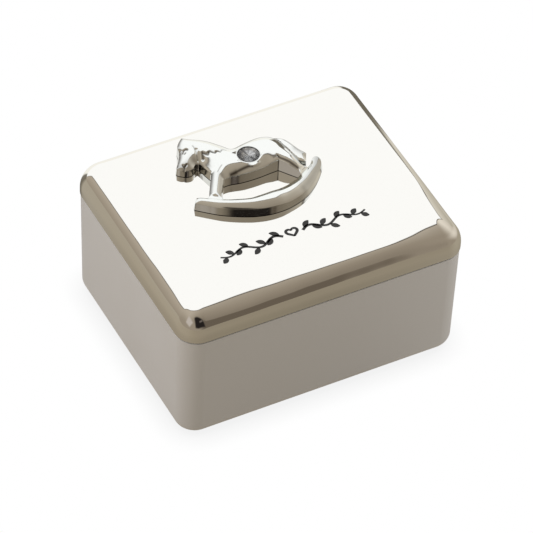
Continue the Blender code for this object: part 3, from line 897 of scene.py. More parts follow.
class Relief:
    """Heights on a square grid in millimetres, read between its points."""

    def __init__(self, low: np.ndarray, high: np.ndarray, step: float) -> None:
        """Lays the grid.

        Args:
            low: Its lowest corner.
            high: Its highest corner, within a step.
            step: The distance between its points.
        """
        self.low = low
        self.step = step
        self.shape = tuple(int(n) + 1 for n in np.ceil((high - low) / step))
        x, y = np.meshgrid(*[low[i] + step * np.arange(self.shape[i]) for i in (0, 1)], indexing="ij")
        self.places = np.column_stack([x.ravel(), y.ravel()])

    def softened(self, values: np.ndarray, weight: np.ndarray, radius: float) -> np.ndarray:
        """Blurs values where the weight is, by a Gaussian applied to their Fourier transforms.

        Args:
            values: A value for each point of the grid.
            weight: How much each counts.
            radius: The Gaussian's standard deviation.

        Returns:
            The blurred values.
        """
        wave = [np.fft.fftfreq(n, self.step) for n in self.shape]
        filter_ = np.exp(-2 * (math.pi * radius) ** 2 * (wave[0][:, None] ** 2 + wave[1][None, :] ** 2))

        def blur(field: np.ndarray) -> np.ndarray:
            """Blurs one field."""
            return np.fft.ifft2(np.fft.fft2(field.reshape(self.shape)) * filter_).real.ravel()

        return blur(values * weight) / np.maximum(blur(weight), 1e-3)

    def back_share(self, depth: np.ndarray, first: float = 0.05, span: float = 0.35) -> np.ndarray:
        """Gives how far the nearest edge faces +Y, out of the slope of the depth.

        Args:
            depth: The depth at each point of the grid.
            first: The slope at which the share leaves 0.
            span: How much more slope makes it 1.

        Returns:
            Shares from 0 to 1.
        """
        slope = np.gradient(depth.reshape(self.shape), self.step)
        return np.clip((-slope[1].ravel() - first) / span, 0.0, 1.0)

    def read(self, values: np.ndarray, places: np.ndarray) -> np.ndarray:
        """Reads values at places, mixed linearly between the grid's points.

        Args:
            values: A value for each point of the grid.
            places: The places.

        Returns:
            Each place's value.
        """
        at = np.clip((places - self.low) / self.step, 0, np.array(self.shape) - 1.001)
        cell = at.astype(int)
        part = at - cell
        field = values.reshape(self.shape)
        i, j = cell[:, 0], cell[:, 1]
        u, v = part[:, 0], part[:, 1]
        return (
            field[i, j] * (1 - u) * (1 - v)
            + field[i + 1, j] * u * (1 - v)
            + field[i, j + 1] * (1 - u) * v
            + field[i + 1, j + 1] * u * v
        )


@dataclass
class RockingHorse:
    """The cast toy horse on its rocker: a low relief with upright walls, a mane, an eye and a mouth.

    Sizes are in millimetres, but for those given with MM, which are in metres. An outline's point is
    (x, y), with True after it where the outline has a corner.
    """

    spacing: float = 0.14
    grid: float = 0.08
    edge_round: float = 0.12
    edge_turn: float = 52.0
    collar_height: float = 2.86
    collar_width: float = 0.15
    collar_slope: float = 0.45
    collar_front: float = 2.5
    collar_reach: float = 0.8
    # The painted shadow round the crystal: how dark, how far outside the stone, and how wide.
    painted_ring_shadow: tuple[float, float, float] = (0.95, 0.03, 0.09)
    collar_aim: tuple[float, float] = (1.6, 0.5)
    clear_share: float = 0.4
    on_line: float = 0.01
    margin: float = 0.5
    near: float = 0.3
    soften_in: tuple[float, float] = (0.3, 0.8)
    soften: float = 0.24
    skirt: float = 0.15
    # Where the painted dark line along back-facing edges lies inside the rim, and its width.
    painted_edge_line: tuple[float, float] = (0.1, 0.38)
    # Painted shade on every steep wall, by this share.
    painted_wall_shade: float = 0.3
    wall_facing: float = 0.35
    sharp_angle: float = 50.0
    under: float = 0.1 * MM
    plate: float = 0.5 * MM
    seat_gap: float = 0.05 * MM
    seat_depth: tuple[float, float] = (1.5 * MM, 1.05 * MM)
    stud_radius: float = 0.7 * MM
    stud_reach: float = 0.9 * MM
    horse: tuple = (
        (-8.95, 17.1, True), (-9.5, 16.65), (-10.1, 16.1), (-10.6, 15.45), (-10.8, 14.75), (-10.95, 14.0),
        (-11.4, 13.15), (-12.0, 12.3), (-12.65, 11.5), (-12.95, 10.9), (-12.7, 10.4), (-12.2, 9.98),
        (-11.75, 9.66), (-11.2, 9.47), (-10.5, 9.5), (-10.0, 9.75), (-9.6, 10.12), (-9.2, 10.3),
        (-8.86, 10.05), (-8.68, 9.35), (-8.45, 8.3), (-8.15, 7.05, True), (-8.9, 5.75), (-9.7, 4.4),
        (-10.5, 3.05), (-11.1, 1.9, True), (-9.05, 0.4, True), (-8.75, 1.4), (-7.55, 3.35),
        (-6.75, 4.6, True), (-5.6, 4.62), (-3.8, 4.28), (-1.9, 4.13), (0.0, 4.13), (2.2, 4.28),
        (3.75, 4.35, True), (5.15, 2.4), (6.2, 0.95, True), (7.9, 1.95, True), (7.45, 2.9), (7.05, 4.1),
        (6.75, 5.4), (6.55, 6.9), (6.3, 8.3), (5.85, 9.45), (5.15, 10.3), (4.5, 10.75), (3.4, 11.1),
        (2.4, 11.15), (1.3, 11.05), (-0.7, 10.8), (-1.7, 10.8), (-2.45, 11.1), (-3.1, 11.95), (-3.8, 12.8),
        (-5.0, 14.15), (-6.3, 15.25), (-7.7, 16.2)
    )
    tail: tuple = (
        (5.6, 9.6, True), (6.5, 6.6), (7.3, 3.9, True), (8.5, 2.95, True), (9.65, 4.95, True), (9.5, 5.4),
        (8.95, 6.4), (8.5, 7.4), (8.1, 8.6), (7.65, 9.5), (7.0, 10.2), (6.15, 10.5)
    )
    rocker: tuple = (
        (-13.05, 2.95, True), (-13.75, 2.25), (-14.0, 1.6, True), (-13.2, 0.9), (-11.9, -0.25),
        (-10.5, -1.4), (-8.3, -2.8), (-5.9, -4.0), (-4.0, -4.65), (-2.4, -4.98), (-0.7, -5.08),
        (1.25, -4.95), (3.2, -4.5), (4.7, -3.95), (6.1, -3.2), (7.9, -1.85), (9.4, -0.4), (10.6, 1.0),
        (11.3, 2.2), (11.5, 3.3), (11.15, 4.05), (10.5, 4.15), (9.95, 3.85), (9.45, 3.2), (8.9, 2.6),
        (8.1, 2.15), (6.9, 1.45), (5.0, 0.25), (3.0, -0.55), (1.3, -0.85), (-0.8, -1.0), (-3.1, -1.05),
        (-4.7, -0.95), (-7.1, -0.15), (-8.7, 0.55), (-10.9, 1.95), (-12.2, 2.75)
    )
    horse_spots: tuple = (
        (0.0, 6.0, 1.93, 1.45), (1.5, 10.7, 2.35, 1.1), (5.9, 9.2, 2.45, 1.0), (4.4, 7.8, 2.15, 1.4),
        (4.9, 3.8, 2.5, 0.95), (7.2, 1.7, 1.3, 0.6), (-3.6, 8.5, 1.9, 1.5), (-5.0, 12.0, 1.9, 1.2),
        (-4.6, 14.0, 2.1, 1.0), (-7.9, 9.0, 1.5, 1.65), (-9.0, 16.0, 1.95, 0.8), (-11.6, 11.0, 1.15, 1.55),
        (-9.9, 11.8, 1.6, 1.15), (-7.3, 5.6, 1.75, 1.2), (-9.6, 2.4, 1.7, 0.9)
    )
    rocker_spots: tuple = (
        (-12.5, 1.5, 1.42, 1.0), (-7.0, -2.0, 1.5, 1.1), (-2.0, -3.0, 1.5, 1.1), (3.0, -2.8, 1.25, 1.1),
        (7.0, -0.8, 1.0, 1.1), (10.4, 2.6, 0.9, 1.0)
    )
    tail_spots: tuple = ((7.0, 9.0, 1.5, 0.8), (8.6, 4.5, 1.25, 0.6))
    marks: tuple = (
        Mark(((-10.5, 13.35), (-10.15, 13.7), (-9.75, 13.65), (-9.55, 13.3)), 0.17, 0.14, 1.0),
        Mark(((-10.3, 12.95), (-10.15, 12.95)), 0.15, 0.12, 1.0),
        Mark(((-8.4, 13.7), (-8.35, 12.9), (-8.5, 11.8), (-8.75, 10.9)), 0.1, 0.14, 0.55),
        Mark(((-8.2, 12.6), (-8.4, 11.6), (-8.9, 10.5)), 0.32, 0.3, 0.15),
        # Colour only, painted shade: the throat's hollow and the lower half of the head.
        Mark(((-9.3, 10.3), (-8.9, 10.15), (-8.7, 9.3)), 0.3, 0.0, 0.8),
        Mark(((-12.2, 10.9), (-11.2, 10.4), (-10.3, 10.6), (-9.6, 11.0)), 0.75, 0.0, 0.4),
        Mark(((-11.8, 10.95), (-11.62, 10.35), (-11.1, 10.55)), 0.12, 0.2, 1.0),
        Mark(((-11.65, 10.4), (-11.85, 9.95)), 0.15, 0.2, 1.0),
        # Grooves along the mane's edge; their dark is painted shade of the mane's step.
        Mark(((-7.95, 10.4), (-7.6, 11.45), (-7.3, 10.95), (-6.95, 10.5), (-6.75, 10.85)), 0.2, 0.22, 0.9),
        Mark(((-6.75, 10.85), (-6.4, 10.95), (-6.1, 10.45), (-5.8, 10.1), (-5.5, 10.35)), 0.2, 0.22, 0.9),
        Mark(((-5.5, 10.35), (-5.2, 10.3), (-4.95, 9.85)), 0.16, 0.18, 0.8),
        Mark(((-4.72, 9.95), (-4.47, 10.26), (-4.02, 10.19), (-3.74, 9.97)), 0.12, 0.12, 0.8),
        Mark(((-7.25, 6.2), (-6.55, 6.75), (-6.1, 6.95)), 0.1, 0.06, 0.6),
        # Painted reflection: a dark line along the crease of the hind leg.
        Mark(((3.85, 5.15), (4.1, 4.6), (5.3, 3.05), (6.2, 1.75)), 0.14, 0.05, 1.0),
        # Colour only, painted shade on the front leg's right side.
        Mark(((-6.95, 5.35), (-8.2, 3.2), (-9.1, 1.5)), 0.5, 0.0, 0.4),
        # Colour only: a painted dark reflection along the belly, then painted shade on the tail's end.
        Mark(((-5.2, 4.95), (-4.2, 4.98)), 0.34, 0.0, 1.0),
        Mark(((-4.2, 4.98), (-1.6, 5.1)), 0.24, 0.0, 0.95), Mark(((8.2, 6.4), (9.0, 4.4)), 0.6, 0.0, 0.4),
        # Colour only, painted shade on the rocker's right slope.
        Mark(((5.0, -2.9), (7.6, -1.0), (9.6, 1.0), (10.9, 3.0)), 0.9, 0.0, 0.45),
        # Painted shade: a dark line where the tail steps down from the haunch.
        Mark(((5.75, 9.9), (6.25, 8.3), (6.55, 6.9), (6.8, 5.4), (7.2, 4.0)), 0.22, 0.06, 0.9)
    )

    def figures(self) -> list[Figure]:
        """Gives the horse, its rocker and its tail."""
        return [
            Figure(
                spline(self.horse, self.spacing), self.horse_spots, slope=0.75, fullness=1.2, draft=0.1,
                painted_edge_shade=0.95
            ),
            Figure(
                spline(self.rocker, self.spacing), self.rocker_spots, slope=0.9, fullness=1.4, draft=0.2,
                painted_edge_shade=0.12
            ),
            Figure(
                spline(self.tail, self.spacing), self.tail_spots, slope=0.9, fullness=1.6, draft=0.1,
                painted_edge_shade=0.7
            )
        ]

    def surface(self, figures: list[Figure]) -> tuple[Relief, np.ndarray, np.ndarray]:
        """Works out the height and the darkening on the grid: the highest figure, softened, less the marks.

        Dark colour lies in the marks: tarnish in the fine engraved lines, painted shade and reflections in
        the others. A painted dark reflection runs as a thin line along the edges that face the back, and a
        painted shadow rings the crystal. Round the crystal the casting rises to a collar and falls away
        from it by the
        slope, more steeply in front: there the share of the front's slope is a gain times the cosine of the
        angle from -Y, less a little.

        Args:
            figures: The horse, its rocker and its tail.

        Returns:
            The grid, and on it the height and the darkening: tarnish and painted shade.
        """
        corners = np.concatenate([figure.outline for figure in figures])
        relief = Relief(corners.min(0) - self.margin, corners.max(0) + self.margin, self.grid)
        places = relief.places
        height = np.zeros(len(places))
        tarnish_and_shade = np.zeros(len(places))
        for figure in figures:
            depth = np.full(len(places), -1.0)
            low, high = figure.outline.min(0) - self.near, figure.outline.max(0) + self.near
            near = ((places > low) & (places < high)).all(1)
            depth[near] = depth_inside(places[near], figure.outline)
            own = figure.height(depth, places)
            blend = np.clip((depth - self.soften_in[0]) / (self.soften_in[1] - self.soften_in[0]), 0.0, 1.0)
            own += blend * (relief.softened(own, (depth > 0).astype(float), self.soften) - own)
            own *= depth > -self.skirt
            # A painted reflection: a thin dark line along the edges that face the back.
            inside, width = self.painted_edge_line
            line = np.exp(-(((depth - figure.draft - inside) / width) ** 2))
            line *= relief.back_share(depth) * figure.painted_edge_shade
            tarnish_and_shade = np.where(own > height, line, tarnish_and_shade)
            height = np.maximum(height, own)
        for mark in self.marks:
            line = np.array(mark.points)
            near = line_distance(places, line[:-1], np.diff(line, axis=0))
            print_ = np.exp(-((near / mark.width) ** 2))
            height -= mark.depth * print_
            tarnish_and_shade = np.maximum(tarnish_and_shade, mark.tarnish_and_shade * print_)
        low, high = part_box("crystal")
        middle = np.array(middle_of("crystal"))[:2] / MM
        apart = np.linalg.norm(places - middle, axis=1)
        ring = apart - (high.x - low.x) / 2 / MM
        away = np.clip(ring - self.collar_width, 0.0, None)
        gain, less = self.collar_aim
        front = np.clip((middle[1] - places[:, 1]) / np.maximum(apart, 1e-6) * gain - less, 0.0, 1.0)
        rise = self.collar_slope + (self.collar_front - self.collar_slope) * front
        collar = self.collar_height - self.collar_slope * away
        height = np.where(ring < self.collar_reach, np.maximum(height, collar), height)
        height = np.minimum(height, self.collar_height + rise * away)
        # A painted shadow of the collar: a dark ring round the crystal.
        most, inside, width = self.painted_ring_shadow
        tarnish_and_shade = np.maximum(tarnish_and_shade, most * np.exp(-(((ring - inside) / width) ** 2)))
        return relief, height, tarnish_and_shade

    def build(self, material: Material) -> None:
        """Fills the outlines with triangles, lifts them by the surface and closes walls, back and studs.

        Args:
            material: The polished plate of the casting.
        """
        figures = self.figures()
        relief, height, tarnish_and_shade = self.surface(figures)
        low, high = relief.places.min(0), relief.places.max(0)
        rows = np.arange(low[1], high[1], self.spacing * math.sqrt(3) / 2)
        x, y = np.meshgrid(np.arange(low[0], high[0], self.spacing), rows)
        x = x + np.where(np.arange(len(rows)) % 2, self.spacing / 2, 0.0)[:, None]
        inner = np.column_stack([x.ravel(), y.ravel()])
        depths = np.array([depth_inside(inner, figure.outline) for figure in figures])
        rim = self.edge_round + max(figure.draft for figure in figures)
        clear = self.spacing * self.clear_share
        keep = (depths.max(0) > rim + clear) & (np.abs(depths).min(0) > clear)
        coords = [Vector(place) for place in inner[keep]]
        loops = []
        for figure in figures:
            loops.append(list(range(len(coords), len(coords) + len(figure.outline))))
            coords += [Vector(place) for place in figure.outline]
        flat = delaunay_2d_cdt(coords, [], loops, 1, 1e-5, True)
        faces = np.array([face for face, origin in zip(flat[2], flat[5]) if origin])
        places = np.array([tuple(point) for point in flat[0]])
        horse = self.close(figures, relief, height, places, faces)
        self.finish(horse, relief, tarnish_and_shade, material)

    def close(
        self, figures: list[Figure], relief: Relief, height: np.ndarray, places: np.ndarray,
        faces: np.ndarray
    ) -> Object:
        """Draws the rim in, reads the heights and adds the rings of the round edge, the wall and the back.

        The wall leans in by the draft. Over it the edge turns through an arc: in by r (1 - cos a) and up
        by r sin a, up to the edge's turn, where the top begins.

        Args:
            figures: The horse, its rocker and its tail.
            relief: The grid.
            height: The height on it.
            places: The points of the flat triangles.
            faces: Their point numbers.

        Returns:
            The closed horse.
        """
        directed = np.concatenate([faces[:, [0, 1]], faces[:, [1, 2]], faces[:, [2, 0]]])
        _, first, uses = np.unique(np.sort(directed, axis=1), axis=0, return_index=True, return_counts=True)
        border = directed[first[uses == 1]]
        count = len(places)
        edge = places[border[:, 1]] - places[border[:, 0]]
        normal = np.column_stack([edge[:, 1], -edge[:, 0]])
        outward = np.zeros_like(places)
        np.add.at(outward, border[:, 0], normal)
        np.add.at(outward, border[:, 1], normal)
        length = np.linalg.norm(outward, axis=1)
        rim = np.flatnonzero(length > 0)
        outward[rim] /= length[rim][:, None]
        draft = np.zeros(count)
        for figure in figures:
            own = rim[np.abs(depth_inside(places[rim], figure.outline)) < self.on_line]
            draft[own] = np.maximum(draft[own], figure.draft)
        turn = np.radians(self.edge_turn)
        drawn = draft + self.edge_round * (1 - math.cos(turn)) * (length > 0)
        top_places = places - outward * drawn[:, None]
        top_height = relief.read(height, top_places)
        shoulder = top_height - self.edge_round * math.sin(turn)
        rings = [np.column_stack([top_places, top_height])]
        for angle in turn * np.array([0.75, 0.5, 0.25]):
            inset = (draft + self.edge_round * (1 - math.cos(angle)))[:, None]
            lifted = shoulder + self.edge_round * math.sin(angle)
            rings.append(np.column_stack([places - outward * inset, lifted]))
        for share in (1.0, 0.93, 0.5, 0.0):
            rings.append(np.column_stack([places - outward * (draft * share)[:, None], shoulder * share]))
        quads = []
        a, b = border[:, 0], border[:, 1]
        for level in range(len(rings) - 1):
            upper, lower = level * count, (level + 1) * count
            quads.append(np.column_stack([b + upper, a + upper, a + lower, b + lower]))
        back = faces[:, ::-1] + (len(rings) - 1) * count
        everything = np.vstack(rings)
        used = np.unique(np.concatenate([faces.ravel(), np.concatenate(quads).ravel(), back.ravel()]))
        number = np.full(len(everything), -1)
        number[used] = np.arange(len(used))
        points = everything[used] * MM + (0.0, 0.0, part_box("lid_shell")[1].z + self.under)
        all_faces = number[faces].tolist() + number[np.concatenate(quads)].tolist() + number[back].tolist()
        return new_object("rocking_horse_relief", points, all_faces)

    def finish(self, horse: Object, relief: Relief, tarnish_and_shade: np.ndarray, material: Material) -> None:
        """Sinks the crystal's seat, adds the studs, and stores tarnish and painted shade as attribute
        'recess'.

        Args:
            horse: The closed horse.
            relief: The grid.
            tarnish_and_shade: The tarnish and painted shade on it.
            material: The polished plate of the casting.
        """
        low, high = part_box("crystal")
        radius = (high.x - low.x) / 2 + self.seat_gap
        bottom, foot = (high.z - depth for depth in self.seat_depth)
        profile = np.array([(radius * 0.3, bottom), (radius, foot), (radius, 1.0)])
        cut(horse, [placed(turned("cut_seat", profile, 64), over("crystal"))])
        floor_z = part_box("rocking_horse")[0].z
        lid_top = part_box("lid_shell")[1].z
        for nut in ("horse_nut_body", "horse_nut_rocker"):
            ends = np.array([(self.stud_radius, floor_z), (self.stud_radius, lid_top + self.stud_reach)])
            cut(horse, [placed(turned("add_stud", ends, 24), over(nut))], "UNION")
        coords = np.empty(len(horse.data.vertices) * 3, np.float32)
        horse.data.vertices.foreach_get("co", coords)
        coords = coords.reshape(-1, 3)
        # Tarnish in engraved lines, and painted shade and reflections, read from the grid on the top only.
        recess = relief.read(tarnish_and_shade, coords[:, :2] / MM) * (coords[:, 2] > lid_top + self.plate)
        facing = np.empty(len(horse.data.vertices) * 3, np.float32)
        horse.data.vertices.foreach_get("normal", facing)
        # Painted shade: the steep walls are darkened by a share.
        recess = np.maximum(recess, self.painted_wall_shade * (facing.reshape(-1, 3)[:, 2] < self.wall_facing))
        store_tarnish_and_shade(horse, recess)
        horse.data.shade_smooth()
        horse.data.set_sharp_from_angle(angle=math.radians(self.sharp_angle))
        dress(horse, material, "lid", "polished_silver", "rocking_horse")


@dataclass
class Crystal:
    """The round stone in the saddle: eight kite facets round a table, over a foiled point.

    The spokes are how dark each of the foil's sixteen folds is painted: painted shade and reflections of
    the facets.
    """

    table_share: float = 0.55
    girdle_mm: float = 0.12
    sink: float = 0.9 * MM
    crown: float = 0.3 * MM
    depth: float = 0.5 * MM
    turn: float = 11.0
    star_share: float = 0.74
    star_drop: float = 0.42
    foil_skin: float = 0.02 * MM
    foil_share: float = 0.98
    # Painted shade and reflections: how dark each fold of the foil is painted.
    painted_spokes: tuple = (0.5, 0.1, 0.6, 0.2, 0.95, 0.25, 0.6, 0.1, 0.5, 0.05, 0.4, 0.0, 0.9, 0.0, 0.35, 0.05)

    def build(self, glass: Material, foil: Material) -> None:
        """Builds the crown from rings of eight and sixteen points, and the foil just inside its underside.

        Args:
            glass: The stone's material.
            foil: The foil's material.
        """
        low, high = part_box("crystal")
        middle = middle_of("crystal")
        radius = (high.x - low.x) / 2
        girdle = high.z - self.sink
        top_z = girdle + self.crown
        eight = np.radians(np.arange(8) * 45 + self.turn)
        sixteen = np.radians(np.arange(16) * 22.5 + self.turn)
        half_girdle = self.girdle_mm * MM / 2

        def ring(angle: np.ndarray, share: float, z: float) -> np.ndarray:
            """Gives points round the stone at a share of its radius."""
            flat = radius * share * np.column_stack([np.cos(angle), np.sin(angle)])
            return np.column_stack([flat + (middle.x, middle.y), np.full(len(angle), z)])

        table = ring(eight, self.table_share, top_z)
        star = ring(eight + math.pi / 8, self.star_share, top_z - self.crown * self.star_drop)
        top = ring(sixteen, 1.0, girdle + half_girdle)
        bottom = ring(sixteen, 1.0, girdle - half_girdle)
        point = np.array([[middle.x, middle.y, girdle - self.depth]])
        faces = [list(range(8))]
        for i in range(8):
            j = (i + 1) % 8
            t, s, g = i, 8 + i, 16 + 2 * i
            after = 16 + (2 * i + 2) % 16
            before_star = 8 + (i - 1) % 8
            faces += [[t, j, s], [s, g + 1, g], [s, after, g + 1], [t, s, g], [t, g, before_star]]
        for i in range(16):
            j = (i + 1) % 16
            faces.append([16 + i, 16 + j, 32 + j, 32 + i])
            faces.append([32 + i, 32 + j, 48])
        stone = new_object("crystal_cut", np.vstack([table, star, top, bottom, point]), faces)
        dress(stone, glass, "lid", "cut_glass", "crystal")
        tip = ring(sixteen, 1 - self.foil_share, girdle - self.depth + self.foil_skin)
        cup = ring(sixteen, self.foil_share, girdle - half_girdle + self.foil_skin)
        folds = grid_faces(2, 16, True).tolist() + [list(range(16))]
        sheet = new_object("crystal_foil", np.vstack([tip, cup]), folds)
        # Paints the foil's folds dark by the spokes, as shade and reflections of the facets.
        store_tarnish_and_shade(sheet, np.tile(np.array(self.painted_spokes), 2)[: len(sheet.data.vertices)])
        dress(sheet, foil, "lid", "cut_glass")


# Ornament on the lid


@dataclass
class LidScroll:
    """The black line ornament in front of the horse: two vines with leaves, mirrored about a heart.

    Sizes are in millimetres. A pair gives a size at the start and at the end of a stroke, or of the vine
    for the leaves' size.
    """

    centre_x: float = -1.1
    centre_y: float = -10.7
    start: float = 1.9
    reach: float = 12.1
    waves: float = 2.0
    swing: float = 0.75
    swing_lost: float = 0.35
    vine_width: tuple[float, float] = (0.56, 0.34)
    leaves: int = 8
    first_leaf: float = 0.35
    swell_power: float = 0.8
    leaf_size: tuple[float, float] = (2.05, 1.55)
    leaf_lean: tuple[float, float] = (1.15, 0.4)
    leaf_width: tuple[float, float] = (0.08, 1.03)
    heart: float = 1.05
    heart_width: tuple[float, float] = (0.3, 0.55)
    thickness: float = 0.012

    def strokes(self) -> list[tuple[np.ndarray, np.ndarray]]:
        """Gives each stroke's centre line and its width along it, in millimetres, on the right half.

        The vine is a sine wave that dies out. Leaves leave it to both sides in turn: each is an arc that
        bends away from the vine, with a width that swells as a power of sin(pi t). The heart's half has
        x = sin^3 a and y from cosines of a, 2a, 3a and 4a, with a from nearly 0 to pi.

        Returns:
            Each stroke's points and widths.
        """
        t = np.linspace(0, 1, 60)
        swell = np.sin(math.pi * t) ** self.swell_power

        def vine(share: np.ndarray) -> np.ndarray:
            """Gives places on the vine at a share of its length."""
            wave = self.swing * np.sin(2 * math.pi * self.waves * share) * (1 - self.swing_lost * share)
            return np.stack([self.start + self.reach * share, wave], -1)

        def mix(pair: tuple[float, float], share: np.ndarray | float) -> np.ndarray | float:
            """Gives what lies between two sizes at a share."""
            return pair[0] + (pair[1] - pair[0]) * share

        made = [(vine(t), mix(self.vine_width, t))]
        for number in range(self.leaves):
            share = (number + self.first_leaf) / self.leaves
            side = 1 if number % 2 == 0 else -1
            lean = side * mix(self.leaf_lean, t)
            step = np.stack([np.cos(lean), np.sin(lean)], -1) * mix(self.leaf_size, share) / len(t)
            made.append((vine(np.array(share)) + np.cumsum(step, axis=0), mix(self.leaf_width, swell)))
        turn = 0.1 + (math.pi - 0.1) * t
        lobes = 13 * np.cos(turn) - 5 * np.cos(2 * turn) - 2 * np.cos(3 * turn) - np.cos(4 * turn)
        heart = self.heart * np.column_stack([np.sin(turn) ** 3, lobes / 16 + 0.35])
        made.append((heart, mix(self.heart_width, swell)))
        return made

    def build(self, material: Material) -> None:
        """Lays each stroke as a ribbon on the lid, with its edges half its width to each side of its line.

        Args:
            material: The enamel.
        """
        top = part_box("lid_shell")[1].z
        points, faces = [], []
        start = 0
        for line, width in self.strokes():
            for side in (1, -1):
                path = line * (side, 1)
                heading = np.gradient(path, axis=0)
                heading /= np.linalg.norm(heading, axis=1)[:, None]
                across = np.column_stack([-heading[:, 1], heading[:, 0]]) * width[:, None] / 2
                for lift in (self.thickness, -self.thickness):
                    for edge in (path + across, path - across):
                        flat = (edge + (self.centre_x, self.centre_y)) * MM
                        points.append(np.column_stack([flat, np.full(len(flat), top + lift * MM)]))
                n = len(path)
                i = np.arange(n - 1)
                corner = [start + k * n for k in (0, 1, 3, 2)]
                for a, b in zip(corner, corner[1:] + corner[:1]):
                    faces += np.column_stack([a + i, b + i, b + i + 1, a + i + 1]).tolist()
                faces += [corner, [k + n - 1 for k in corner]]
                start += 4 * n
        scroll = new_object("lid_scroll", np.vstack(points), faces)
        dress(scroll, material, "lid", "polished_silver")


# Linings


def padded_board(
    name: str, low: Vector, high: Vector, thin: int, edges: tuple[float, float], crown: float,
    steps: int = 40
) -> Object:
    """Makes a covered board whose face swells a little and whose edges turn over in a round.

    On a square of parameters u, v from -1 to 1 the face lies at half the thickness, less an edge round
    that falls as a quarter circle within the edge width, and less a crown that grows as u^2 and v^2.

    Args:
        name: The piece's name.
        low: Its lowest corner.
        high: Its highest corner.
        thin: The axis through its thickness, 0, 1 or 2.
        edges: The radius of the round at its ends, and along its other two edges.
        crown: How much lower the face lies at the edges than in the middle.
        steps: Divisions along each side.

    Returns:
        The board.
    """
    size = np.array(high - low)
    middle = np.array((low + high) / 2)
    wide = [axis for axis in range(3) if axis != thin]
    line = np.sin(np.linspace(-math.pi / 2, math.pi / 2, steps + 1))
    u, v = np.meshgrid(line, line, indexing="ij")
    half = size / 2
    reach_u = (1 - np.abs(u)) * half[wide[0]]
    reach_v = (1 - np.abs(v)) * half[wide[1]]
    fall = np.zeros_like(u)
    for reach, edge in zip((reach_u, reach_v), edges):
        inside = np.clip(reach / edge, 0, 1)
        fall = np.maximum(fall, edge * (1 - np.sqrt(1 - (1 - inside) ** 2)))
    face = half[thin] - fall - crown * (u**2 + v**2) / 2
    face = np.maximum(face, 0.0)
    rows = []
    for sign in (1, -1):
        sheet = np.zeros((*u.shape, 3))
        sheet[..., wide[0]] = middle[wide[0]] + u * half[wide[0]]
        sheet[..., wide[1]] = middle[wide[1]] + v * half[wide[1]]
        sheet[..., thin] = middle[thin] + sign * face
        rows.append(sheet.reshape(-1, 3))
    quads = grid_faces(steps + 1, steps + 1, False)
    count = len(rows[0])
    border = np.concatenate(
        [
            np.arange(steps + 1),
            np.arange(1, steps + 1) * (steps + 1) + steps,
            steps * (steps + 1) + np.arange(steps - 1, -1, -1),
            np.arange(steps - 1, 0, -1) * (steps + 1),
        ]
    )
    after = np.roll(border, -1)
    sides = np.column_stack([border, after, after + count, border + count])
    faces = quads.tolist() + (quads[:, ::-1] + count).tolist() + sides.tolist()
    return new_object(name, np.vstack(rows), faces)


@dataclass
class Linings:
    """Velvet over card and wadding: floor pad, wall boards and the pad inside the lid, and the felt."""

    board_end: float = 0.08 * MM
    corner_reach: float = 0.45 * MM
    board_edge: float = 0.45 * MM
    board_crown: float = 0.04 * MM
    pad_edge: float = 0.9 * MM
    pad_crown: float = 0.12 * MM
    lid_edge: float = 0.5 * MM
    lid_crown: float = 0.05 * MM
    felt_corner: float = 1.3 * MM
    felt_soft: float = 0.08 * MM

    def build(self, velvet: Material, felt: Material) -> None:
        """Builds every lining in the space of its solid; the long boards reach on to meet the short ones.

        Args:
            velvet: What covers the boards and pads.
            felt: The felt under the box.
        """
        for side, thin in (("front", 1), ("back", 1), ("left", 0), ("right", 0)):
            low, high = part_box(f"lining_{side}")
            reach = Vector((self.corner_reach if thin == 1 else 0.0, 0.0, 0.0))
            low, high = low - reach, high + reach
            edges = (self.board_end, self.board_edge)
            board = padded_board(f"velvet_board_{side}", low, high, thin, edges, self.board_crown)
            board.data.shade_smooth()
            dress(board, velvet, "base", "velvet", f"lining_{side}")
        for name, node, body, edge, crown, fill in (
            ("velvet_floor_pad", "lining_floor", "base", self.pad_edge, self.pad_crown, 0.6),
            ("velvet_lid_pad", "lid_lining_pad", "lid", self.lid_edge, self.lid_crown, 0.5)
        ):
            pad = padded_board(name, *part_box(node), 2, (edge, edge), crown, 64)
            pad.data.shade_smooth()
            dress(pad, velvet, body, "velvet", node)
        self.felt(felt)

    def felt(self, material: Material) -> None:
        """Builds the felt with rounded corners, as thick as its solid.

        Args:
            material: The felt.
        """
        low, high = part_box("underside_felt")
        half = (high - low) / 2
        soft = self.felt_soft
        plan = RoundedPlan(half.x, half.y, corner=self.felt_corner, steps=8)
        profile = [(soft, low.z), (0.0, low.z + soft), (0.0, high.z - soft), (soft, high.z)]
        felt = plan.loft("underside_felt_sheet", profile)
        felt.data.shade_smooth()
        dress(felt, material, "base", "felt", "underside_felt")


